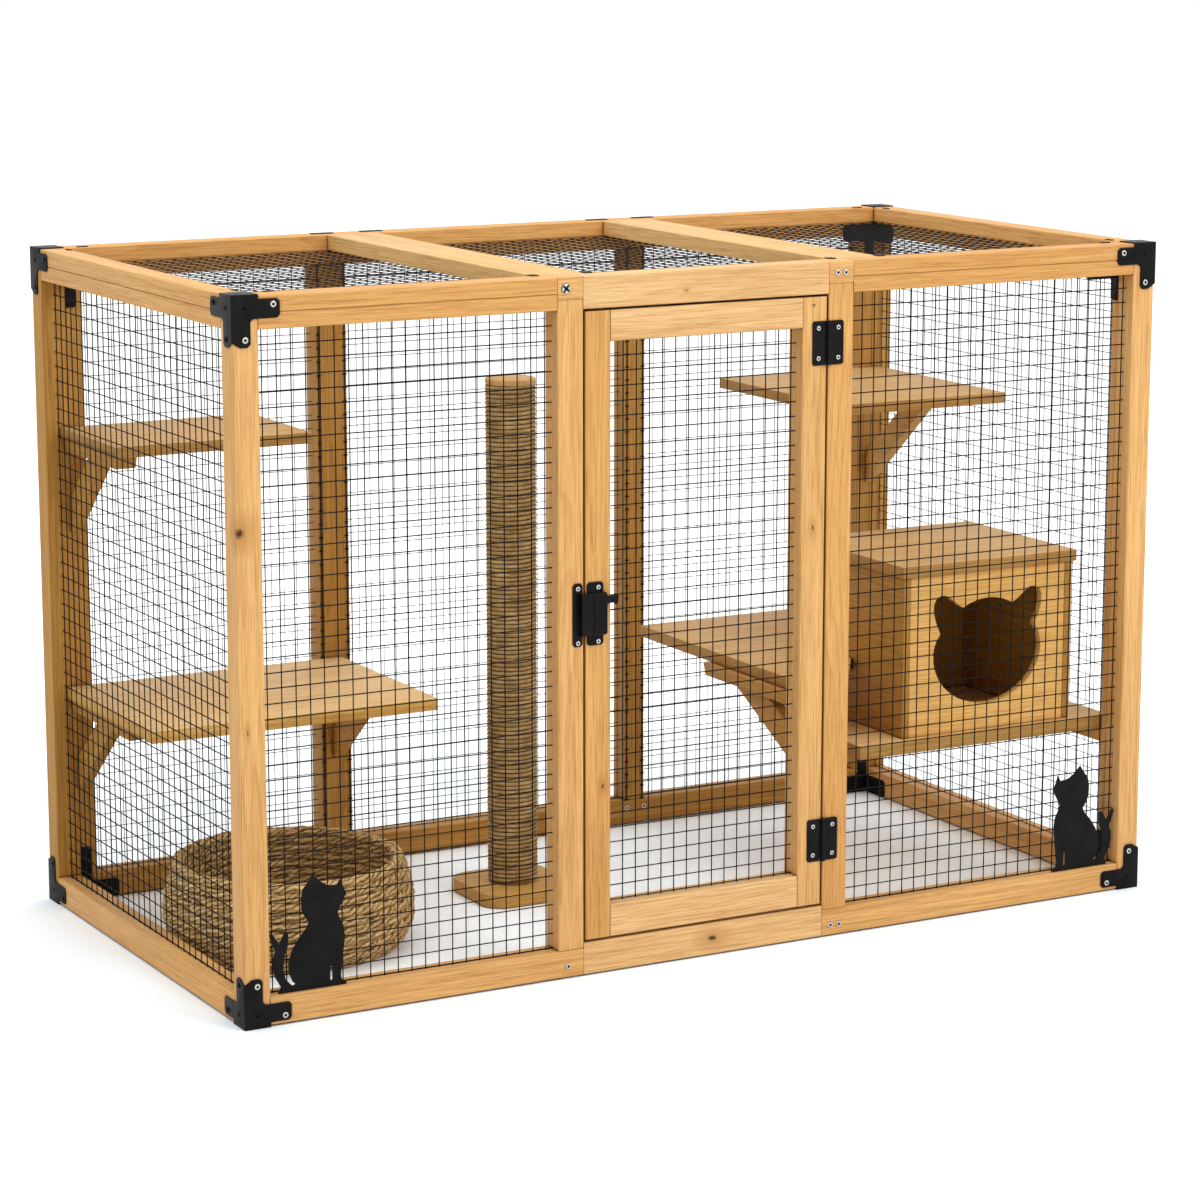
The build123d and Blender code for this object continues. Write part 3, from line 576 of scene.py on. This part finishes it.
# name, body, way of the grain, colour, middle of the log
TIMBERS = [
    ("post_front_left", "frame", "Z", PINE, (-0.89, -0.36, 0)),
    ("post_front_right", "frame", "Z", PINE, (0.86, -0.37, 0)),
    ("post_back_left", "frame", "Z", PINE_PAINTED_SHADE, (-0.84, 0.36, 0)),
    ("post_back_right", "frame", "Z", PINE_PAINTED_SHADE, (0.86, 0.35, 0)),
    ("post_door_left", "frame", "Z", PINE, (-0.31, -0.37, 0)),
    ("post_door_right", "frame", "Z", PINE_HONEY, (0.21, -0.35, 0)),
    ("door_stile_latch", "door", "Z", PINE_HONEY, (-0.26, -0.38, 0)),
    ("door_stile_hinge", "door", "Z", PINE, (0.20, -0.37, 0)),
    ("post_back_centre_left", "frame", "Z", PINE_PAINTED_SHADE, (-0.36, 0.49, 0)),
    ("post_back_centre_right", "frame", "Z", PINE_PAINTED_SHADE, (0.33, 0.50, 0)),
    ("back_stiles", "frame", "Z", PINE_PAINTED_SHADE, (-0.80, 0.50, 0)),
    ("side_stile", "frame", "Z", PINE_HONEY, (0.93, -0.38, 0)),
    ("rail_bottom_front_left", "frame", "X", PINE, (0, -0.37, 0.0)),
    ("rail_bottom_front_right", "frame", "X", PINE, (0, -0.38, 0.06)),
    ("door_sill", "frame", "X", PINE_PALE, (0, -0.37, 0.0)),
    ("rail_bottom_back", "frame", "X", PINE_PAINTED_SHADE, (0, 0.48, 0.0)),
    ("rails_top_long", "frame", "X", PINE_HONEY, (0, -0.38, 1.20)),
    ("door_header", "frame", "X", PINE_PALE, (0, -0.36, 1.16)),
    ("roof_rails_long", "frame", "X", PINE_HONEY, (0, -0.38, 1.14)),
    ("door_rails", "door", "X", PINE_PALE, (0, -0.38, 1.10)),
    ("post_lap_blocks", "frame", "X", PINE, (0, -0.40, 1.14)),
    ("rails_bottom_side", "frame", "Y", PINE, (-0.95, 0, -0.02)),
    ("rails_top_side", "frame", "Y", PINE, (-0.95, 0, 1.20)),
    ("roof_rails_side", "frame", "Y", PINE, (-0.93, 0, 1.12)),
    ("roof_boards", "frame", "Y", ROOF_BOARD, (-0.28, 0, 1.10)),
]
# the timbers in painted shade also take deeper, darker rings
for number, (name, body, along, colour, heart) in enumerate(TIMBERS):
    finish = timber_finish("pine_" + name, along, colour, heart, number * 0.37, KNOTS.get(name, ()),
                           spacing=4.2 + (number % 4) * 0.7, wander=0.8 + (number % 3) * 0.35,
                           depth=0.55 if colour == PINE_PAINTED_SHADE else 0.74)
    eased_copy(name, 1.1 * MM, finish, body)


def board_finish(name, along, colour, heart, shift):
    return timber_finish("board_" + name, along, colour, heart, shift, spacing=7.0, wander=1.4, depth=0.80)


def darken_upright_faces(board, finish):
    # the faces that don't lie flat take the second finish
    board.data.materials.append(finish)
    for face in board.data.polygons:
        face.material_index = 0 if abs(face.normal.z) > 0.9 else 1


# name, way of the grain, colour, middle of the log, colour of the edges
BOARDS = [
    ("shelf_upper_left", "X", BOARD, (-0.7, 0.2, 0.80), BOARD_EDGE),
    ("shelf_upper_right", "X", BOARD, (0.7, 0.2, 0.79), BOARD_EDGE),
    ("shelf_lower_left", "X", BOARD_LIT, (-0.7, 0.2, 0.30), LIT_EDGE),
    ("shelf_middle", "X", BOARD, (0.3, 0.0, 0.34), BOARD_EDGE),
    ("platform", "X", PLATFORM_BOARD, (0.6, -0.2, 0.22), BOARD_EDGE),
    ("box_roof", "X", BOARD, (0.6, -0.2, 0.55), BOARD_EDGE),
    ("box_front", "X", BOX_BOARD, (0.6, -0.30, 0.50), None),
    ("box_walls", "Y", BOX_SIDE_PAINTED_SHADE, (0.50, -0.2, 0.48), None),
    ("platform_bearer", "Y", BOARD_SHADY, (0.9, 0.0, 0.2), None),
    ("bracket_upper_left", "Y", PINE_PAINTED_SHADE, (-0.9, 0.3, 0.80), None),
    ("brackets_lower_left", "Y", PINE_PAINTED_SHADE, (-0.9, 0.3, 0.30), None),
    ("bracket_upper_right", "Y", BOARD_SHADY, (0.8, 0.3, 0.75), None),
    ("bracket_middle", "Y", PINE_PAINTED_SHADE, (0.20, -0.2, 0.30), None),
]
for number, (name, along, colour, heart, edge) in enumerate(BOARDS):
    shift = number * 0.53
    board = eased_copy(name, 1.0 * MM, board_finish(name, along, colour, heart, shift), "frame")
    if edge:
        darken_upright_faces(board, timber_finish("edge_" + name, along, edge, heart, shift))
for name, colour in (("scratch_base", BOARD_SHADY), ("scratch_cap", BOARD)):
    finish = board_finish(name, "X", colour, (-0.2, 0.0, -0.06), 0.2)
    eased_copy(name, 1.5 * MM, finish, "scratching_post")
for name in ("corner_brackets_top", "corner_brackets_bottom", "angle_brackets"):
    eased_copy(name, 0.5 * MM, black_sheet, "frame")


# ---------------------------------------------------------------- welded wire

WIRE_PITCH = 25.4 * MM
WIRE_THICK = 1.6 * MM
# half the distance between the middles of the two layers
WIRE_LAYER = 0.825 * MM
# radius as drawn: the near panels a little heavier than the real wire, the far ones lighter
WIRE_RADIUS = 1.08 * MM
FAR_WIRE_RADIUS = 0.72 * MM
WIRE_RADII = {"mesh_back": FAR_WIRE_RADIUS, "mesh_right": FAR_WIRE_RADIUS, "mesh_roof": WIRE_THICK / 2}
# the planes of the panels, and how far the wall panels reach up
FRONT_Y = -427.5 * MM
BACK_Y = 427.5 * MM
SIDE_X = 877.5 * MM
ROOF_Z = 1170.375 * MM
WALL = (50 * MM, 1145 * MM)
# the axes that a panel spans, by its normal, and the turn that lays a rod along an axis
SPANNED = {"X": "YZ", "Y": "XZ", "Z": "XY"}
LAID = {"X": (0, 90, 0), "Y": (90, 0, 0), "Z": (0, 0, 0)}


def wire_places(low, high):
    # the first wire and how many there are, centred in the bay
    steps = int((high - low - WIRE_THICK) / WIRE_PITCH)
    margin = (high - low - steps * WIRE_PITCH) / 2
    return low + margin, steps + 1


def wire_layer(name, radius, runs, reach, steps, spread, normal, level):
    # straight wires that run along one axis and are repeated along the other
    first, count = wire_places(*spread)
    middle = {runs: (reach[0] + reach[1]) / 2, steps: first, normal: level}
    wire = rod(name, 8, radius, reach[1] - reach[0], [middle[axis] for axis in "XYZ"], LAID[runs])
    repeat(wire, count, [WIRE_PITCH if axis == steps else 0 for axis in "XYZ"])
    return wire


def wire_field(name, radius, normal, level, u_span, v_span):
    # two layers of round wire that touch where they are welded
    u_axis, v_axis = SPANNED[normal]
    return [wire_layer(name, radius, u_axis, u_span, v_axis, v_span, normal, level + WIRE_LAYER),
            wire_layer(name, radius, v_axis, v_span, u_axis, u_span, normal, level - WIRE_LAYER)]


def wire_panel(node, body, fields):
    pieces = []
    for field in fields:
        pieces += wire_field("welded_" + node, WIRE_RADII.get(node, WIRE_RADIUS), *field)
    panel = join("welded_" + node, pieces)
    smooth(panel, 60)
    give(panel, black_wire, body)
    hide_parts(node)


wire_panel("mesh_front_left", "frame", [("Y", FRONT_Y, (-0.855, -0.32), WALL)])
wire_panel("mesh_front_right", "frame", [("Y", FRONT_Y, (0.258, 0.855), WALL)])
wire_panel("mesh_back", "frame", [("Y", BACK_Y, (-0.824, -0.369), WALL), ("Y", BACK_Y, (-0.307, 0.286), WALL),
                                  ("Y", BACK_Y, (0.330, 0.824), WALL)])
wire_panel("mesh_left", "frame", [("X", -SIDE_X, (-0.405, 0.405), WALL)])
wire_panel("mesh_right", "frame", [("X", SIDE_X, (-0.389, 0.405), WALL)])
wire_panel("mesh_roof", "frame", [("Z", ROOF_Z, (-0.855, 0.855), (-0.405, 0.405))])
wire_panel("mesh_door", "door", [("Y", FRONT_Y, (-0.22, 0.156), (0.119, 1.089))])


# the border wire on a post: its radius, how far it lies from the post's edge and before its face
BORDER_RADIUS = 1.1 * MM
BORDER_INSET = 4.5 * MM
BORDER_STAND_OFF = 0.9 * MM
# the ends of the cross wires that are seen on it
END_RADIUS = 1.0 * MM
END_LENGTH = 9 * MM


def border_wires():
    # the cut edges of the back mesh, laid on the inner faces of the two back posts
    first, count = wire_places(*WALL)
    pieces = []
    for node in ("post_back_centre_left", "post_back_centre_right"):
        low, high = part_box(node)
        y = low[1] - BORDER_STAND_OFF
        for x in (low[0] + BORDER_INSET, high[0] - BORDER_INSET):
            pieces.append(rod("border", 8, BORDER_RADIUS, WALL[1] - WALL[0], (x, y, (WALL[0] + WALL[1]) / 2)))
            ends = rod("border", 6, END_RADIUS, END_LENGTH, (x, y - 0.2 * MM, first), LAID["X"])
            repeat(ends, count, (0, 0, WIRE_PITCH))
            pieces.append(ends)
    return pieces


give(join("welded_border_back", border_wires()), black_wire, "frame")


# ---------------------------------------------------------------- scratching post

ROPE_RADIUS = 4.15 * MM
WINDING_RADIUS = 42.2 * MM
WINDING_FOOT = 29.6 * MM
WINDING_RISE = 7.94 * MM
WINDING_TURNS = 116
WINDING_STEPS = 44


def sisal_winding():
    # one unbroken rope, wound turn on turn round the core
    clear()
    bpy.ops.mesh.primitive_circle_add(
        vertices=10, radius=ROPE_RADIUS, location=(WINDING_RADIUS, 0, WINDING_FOOT),
        rotation=(math.radians(90), 0, 0))
    rope = bpy.context.object
    settle(rope)
    screw = rope.modifiers.new("wind", "SCREW")
    screw.axis = "Z"
    screw.angle = math.radians(360)
    screw.screw_offset = WINDING_RISE
    screw.iterations = WINDING_TURNS
    screw.steps = WINDING_STEPS
    screw.render_steps = WINDING_STEPS
    screw.use_stretch_u = True
    screw.use_stretch_v = True
    screw.use_normal_calculate = True
    finish_modifiers(rope)
    rope.location = (*POST_PLACE, 0)
    settle(rope)
    smooth(rope, 80)
    rope.name = "sisal_winding"
    return rope


winding = give(sisal_winding(), sisal, "scratching_post")
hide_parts("scratch_rope")


# ---------------------------------------------------------------- basket

BASKET_RADIUS = 222 * MM
FIRST_COURSE = 8.6 * MM
COURSE_RISE = 15.957 * MM
# each course's share of the basket's radius, from the ground up
COURSES = [0.888, 0.945, 0.982, 1.0, 1.0, 0.995, 0.983, 0.965, 0.945, 0.918]
# the bottom's rings, from the wall inwards
BOTTOM_LEVEL = 8.5 * MM
BOTTOM_STEP = 16.5 * MM
# half the rope's width and height in the wall, in the bottom and in the bottom's middle
WALL_ROPE = (10.8 * MM, 8.7 * MM)
BOTTOM_ROPE = (9.2 * MM, 8.0 * MM)
MIDDLE_ROPE = (5.8 * MM, 7.4 * MM)


def rope_ring(radius, rope, z, twists, shift, segments):
    # one course: a closed ring of rope with five uneven strands that turn along it
    thick, high = rope
    clear()
    bpy.ops.mesh.primitive_torus_add(
        major_radius=radius, minor_radius=1.0 * MM, major_segments=segments, minor_segments=16,
        location=(0, 0, 0))
    ring = bpy.context.object
    strand_light_and_shade = []
    for vertex in ring.data.vertices:
        turn = math.atan2(vertex.co.y, vertex.co.x)
        out = math.hypot(vertex.co.x, vertex.co.y) - radius
        around = math.atan2(vertex.co.z, out)
        slip = (1.3 * math.sin(5 * turn + shift) + 0.9 * math.sin(13 * turn + 2 * shift)
                + 0.7 * math.sin(31 * turn + shift))
        lobe = abs(math.cos(2.5 * (around + shift) - twists * turn + slip)) ** 0.7
        uneven = 0.5 + 0.5 * math.sin(23 * turn + 3 * around + 5 * shift)
        sway = 0.0009 * math.sin(7 * turn + shift * 3) + 0.0006 * math.sin(17 * turn + shift)
        swell = 0.76 + 0.18 * lobe + 0.12 * lobe * uneven
        reach = radius + thick * swell * math.cos(around) + sway
        vertex.co.x = reach * math.cos(turn)
        vertex.co.y = reach * math.sin(turn)
        vertex.co.z = high * swell * math.sin(around) + 0.6 * sway
        strand_light_and_shade.append(lobe)
    # a strand's crown, high in the UV map, is painted lighter as highlight and the gaps between strands
    # darker as painted shade
    chart = ring.data.uv_layers.active.data
    for loop in ring.data.loops:
        chart[loop.index].uv = (0.5, strand_light_and_shade[loop.vertex_index])
    ring.location = (*BASKET_PLACE, z)
    settle(ring)
    return ring


def coiled_basket():
    rings = []
    for i, share in enumerate(COURSES):
        rings.append(rope_ring(BASKET_RADIUS * share - 10.5 * MM, WALL_ROPE, FIRST_COURSE + i * COURSE_RISE,
                               26 + 2 * (i % 3), i * 1.7, 380))
    radius = BASKET_RADIUS * COURSES[0] - 30 * MM
    while radius > 12 * MM:
        # the smaller the ring, the fewer twists and segments it needs
        rings.append(rope_ring(radius, BOTTOM_ROPE, BOTTOM_LEVEL, max(3, int(radius * 90)), radius * 90,
                               max(36, int(radius * 1500))))
        radius -= BOTTOM_STEP
    # the last ring closes the middle
    rings.append(rope_ring(5.6 * MM, MIDDLE_ROPE, BOTTOM_LEVEL, 2, 0.4, 24))
    return join("coiled_basket", rings)


weave = give(coiled_basket(), seagrass, "basket")
smooth(weave, 80)
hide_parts("basket")


# ---------------------------------------------------------------- screws and small metal

def flat_plate(low, high, ease):
    # a thin plate with its edges taken off
    clear()
    middle = [(a + b) / 2 for a, b in zip(low, high)]
    bpy.ops.mesh.primitive_cube_add(size=1, location=middle)
    plate = bpy.context.object
    plate.scale = [b - a for a, b in zip(low, high)]
    settle(plate)
    ease_edges(plate, ease, 2, 30)
    smooth(plate, 35)
    return plate


def screw_head(radius, height, metal):
    # flat head that faces the front, with a raised rim and a sunk drive, dark as painted shade
    head = rod("screw_head", 20, radius, height, (0, -height / 2, 0), LAID["Y"])
    bpy.ops.object.mode_set(mode="EDIT")
    bpy.ops.mesh.select_all(action="DESELECT")
    bpy.ops.object.mode_set(mode="OBJECT")
    for face in head.data.polygons:
        face.select = face.normal.y < -0.9
    bpy.ops.object.mode_set(mode="EDIT")
    bpy.ops.mesh.select_mode(type="FACE")
    bpy.ops.mesh.inset(thickness=radius * 0.28, depth=0.35 * MM)
    bpy.ops.mesh.inset(thickness=radius * 0.22, depth=0.0)
    bpy.ops.mesh.inset(thickness=radius * 0.08, depth=-1.3 * MM)
    bpy.ops.object.mode_set(mode="OBJECT")
    head.data.materials.append(metal)
    head.data.materials.append(painted_shade_steel)
    for face in head.data.polygons:
        far = max(math.hypot(head.data.vertices[i].co.x, head.data.vertices[i].co.z) for i in face.vertices)
        if far < radius * 0.56:
            face.material_index = 1
    smooth(head, 40)
    return head


def black_plug():
    # closes a bracket's unused hole
    plug = screw_head(4.2 * MM, 0.9 * MM, black_sheet)
    for face in plug.data.polygons:
        face.material_index = 0
    coat(plug, black_sheet)
    return plug


def cross_screw(radius, height):
    # round head facing the front, whose rounded edge and sides are painted shade, with a cross of two dark
    # bars painted as shade where a recess would be
    head = rod("cross_screw", 28, radius, height, (0, -height / 2, 0), LAID["Y"])
    ease_edges(head, height * 0.8, 3, 55)
    smooth(head, 50)
    head.data.materials.append(zinc)
    head.data.materials.append(painted_shade_steel)
    for face in head.data.polygons:
        face.material_index = 0 if face.normal.y < -0.75 else 1
    half_length = radius * 0.86
    half_width = radius * 0.24
    bars = []
    for turn in (40, 130):
        bar = flat_plate([-half_length, -height - 0.12 * MM, -half_width],
                         [half_length, -height + 0.5 * MM, half_width], 0.1 * MM)
        bar.rotation_euler = (0, math.radians(turn), 0)
        settle(bar)
        coat(bar, painted_shade_steel)
        bars.append(bar)
    return join("cross_screw", [head] + bars)


FACING = {"front": (0, 0, 0), "left": (0, 0, -90), "right": (0, 0, 90), "back": (0, 0, 180)}


def screws(name, body, head, places):
    group = join(name, [copy_to(head, place, FACING[way]) for place, way in places])
    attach(group, body)


# how far the outer brackets' faces stand off the timber
SHEET = 2 * MM
# where the brackets' spots are measured from at each end of the height, and the way inwards
BRACKET_ENDS = ((HEIGHT, -1), (2 * MM, 1))
# spots on a bracket's face: distance from the corner, distance from the end
BRACKET_SCREWS = ((70 * MM, 15 * MM), (21 * MM, 70 * MM))
BRACKET_HOLES = ((22 * MM, 20 * MM),)


def on_brackets(spots, ways):
    # the same spots on the faces of all eight outer brackets that look these ways
    places = []
    for x_side, x_way in ((-1, "left"), (1, "right")):
        for y_side, y_way in ((-1, "front"), (1, "back")):
            for end, inwards in BRACKET_ENDS:
                for along, rise in spots:
                    z = end + inwards * rise
                    places.append(((x_side * (HALF_LENGTH - along), y_side * (HALF_DEPTH + SHEET), z), y_way))
                    places.append(((x_side * (HALF_LENGTH + SHEET), y_side * (HALF_DEPTH - along), z), x_way))
    return [place for place in places if place[1] in ways]


def from_corner(x, y, z):
    # a place in millimetres from the lower front left corner
    return (x * MM - HALF_LENGTH, y * MM - HALF_DEPTH, z * MM)


def on_front(spots, y=0):
    # screws that look to the front, at these places along and up and this far back, in millimetres
    return [(from_corner(x, y, z), "front") for x, z in spots]


# in millimetres from the corner: the pins of the hinges, the middles of both hinges, the latch's screws
HINGE_PIN = 1106
HINGE_HEIGHTS = (180, 1061)
LATCH_HEIGHTS = (676, 583)


def hinge_spots(side):
    # the screws of both hinges on one side of the pins
    return [(HINGE_PIN + side * 20, middle + rise) for middle in HINGE_HEIGHTS for rise in (-26, 26)]


head = screw_head(5.0 * MM, 1.6 * MM, zinc)
small_head = screw_head(3.9 * MM, 1.3 * MM, zinc)
# the screws on the side faces are the same zinc screws, drawn black as painted shade
side_head_painted_shade = screw_head(4.6 * MM, 1.4 * MM, black_sheet)
nail = screw_head(3.2 * MM, 1.0 * MM, brass)
plug = black_plug()
cross = cross_screw(8.4 * MM, 2.0 * MM)
screws("corner_screws", "frame", head, on_brackets(BRACKET_SCREWS, ("front", "back")))
screws("corner_screws_side", "frame", side_head_painted_shade, on_brackets(BRACKET_SCREWS, ("left", "right")))
screws("bracket_plugs", "frame", plug, on_brackets(BRACKET_HOLES, FACING))
screws("lap_screw", "frame", cross, on_front([(595.5, 1181)]))
screws("frame_screws", "frame", head,
       on_front([(597.5, 22), (1125, 1181), (1141, 1180.5), (1125.8, 21), (1143.5, 20.5)])
       + on_front([(1191.4, 34), (1230, 34)], 855))
screws("keeper_screws", "frame", small_head, on_front([(616, z) for z in LATCH_HEIGHTS], -2))
screws("case_screws", "door", small_head, on_front([(655, z) for z in LATCH_HEIGHTS], -2))
screws("hinge_screws_post", "frame", small_head, on_front(hinge_spots(1), -2))
screws("hinge_screws_door", "door", small_head, on_front(hinge_spots(-1), -2))
screws("stile_nail", "door", nail, on_front([(1077, 1128)]))
for pattern in (head, small_head, side_head_painted_shade, nail, plug, cross):
    bpy.data.objects.remove(pattern)


# in millimetres from the corner: the plates' lower and upper face, the long edges of the two boards
# across the roof, and the frame's inner corners with the way inwards
PLATE_FACES = (1199.8, 1201.6)
ROOF_BOARD_EDGES = (558, 658, 1138, 1238)
INNER_X = ((45, 1), (1755, -1))
INNER_Y = ((45, 1), (855, -1))


def roof_plate(xs, ys):
    # a thin plate on top of the roof, between these places in millimetres
    low, high = PLATE_FACES
    return flat_plate(from_corner(min(xs), min(ys), low), from_corner(max(xs), max(ys), high), 0.6 * MM)


def roof_plates():
    # mending plates over the joints of the roof boards, and the ends of the inner brackets on the rails
    plates = []
    for edge in ROOF_BOARD_EDGES:
        plates.append(roof_plate((edge - 22, edge + 22), (874, 888)))
    for edge in ROOF_BOARD_EDGES:
        plates.append(roof_plate((edge - 7, edge + 7), (36, 54)))
    for x, x_way in INNER_X:
        for y, y_way in INNER_Y:
            plates.append(roof_plate((x + x_way * 26, x + x_way * 46), (y - y_way * 8, y - y_way * 1.6)))
            plates.append(roof_plate((x - x_way * 8, x - x_way * 1.6), (y + y_way * 26, y + y_way * 46)))
    return plates


give(join("roof_plates", roof_plates()), black_sheet, "frame")


# ---------------------------------------------------------------- floor, light and camera

def studio_floor():
    # white paper; to the camera it is whiter still, and it fades into the backdrop away from the object
    clear()
    bpy.ops.mesh.primitive_plane_add(size=40, location=(0, 0, -0.0005))
    floor = bpy.context.object
    floor.name = "studio_floor"
    material, tree, shader, place = new_material("studio_floor")
    path = tree.nodes.new("ShaderNodeLightPath")
    path.location = (0, 200)
    away = vector_node(tree, "LENGTH", place["Object"], None, (-400, 0))
    spread = map_range(tree, away, (1.0, 2.6), (0, 1), (-200, 0))
    sheet = blend_colour(tree, "MIX", spread, (1.12, 1.20, 1.25), (1.5, 1.5, 1.5), (100, 100))
    paper = blend_colour(tree, "MIX", path.outputs["Is Camera Ray"], (0.86, 0.86, 0.86), sheet, (300, 100))
    tree.links.new(paper, shader.inputs["Base Color"])
    shader.inputs["Roughness"].default_value = 0.9
    shader.inputs["Specular IOR Level"].default_value = 0.0
    floor.data.materials.append(material)


def studio_world():
    # white backdrop that lights the object a little less than it shows
    world = bpy.data.worlds.new("studio")
    bpy.context.scene.world = world
    world.use_nodes = True
    tree = world.node_tree
    sky = tree.nodes["Background"]
    sky.inputs["Color"].default_value = (1, 1, 1, 1)
    path = tree.nodes.new("ShaderNodeLightPath")
    seen = math_node(tree, "MAXIMUM", path.outputs["Is Camera Ray"], path.outputs["Is Glossy Ray"])
    power = map_range(tree, seen, (0, 1), (0.83, 1.0), (-200, 0))
    tree.links.new(power, sky.inputs["Strength"])


LIGHT_AIM = (0, 0, 0.6)


def area_light(name, place, size, watts):
    # a square soft light that looks at the object's middle
    lamp = bpy.data.lights.new(name, "AREA")
    lamp.energy = watts
    lamp.size = size
    lamp_object = bpy.data.objects.new(name, lamp)
    bpy.context.collection.objects.link(lamp_object)
    lamp_object.location = place
    away = [a - b for a, b in zip(place, LIGHT_AIM)]
    flat = math.hypot(away[0], away[1])
    lamp_object.rotation_euler = (math.atan2(flat, away[2]), 0, math.atan2(away[0], -away[1]))


def camera():
    lens = bpy.data.cameras.new("camera")
    lens.sensor_width = 36
    lens.lens = 109.12
    lens.clip_end = 60
    view = bpy.data.objects.new("camera", lens)
    bpy.context.collection.objects.link(view)
    view.location = (-3.1366, -5.7037, 1.8367)
    view.rotation_euler = (math.radians(78.838), 0, math.radians(-28.866))
    bpy.context.scene.camera = view


studio_floor()
studio_world()
area_light("key_light", (2.4, -5.2, 4.6), 3.2, 136)
area_light("top_light", (-0.4, 0.2, 5.2), 4.0, 96)
camera()
bpy.context.scene.view_settings.view_transform = "Standard"
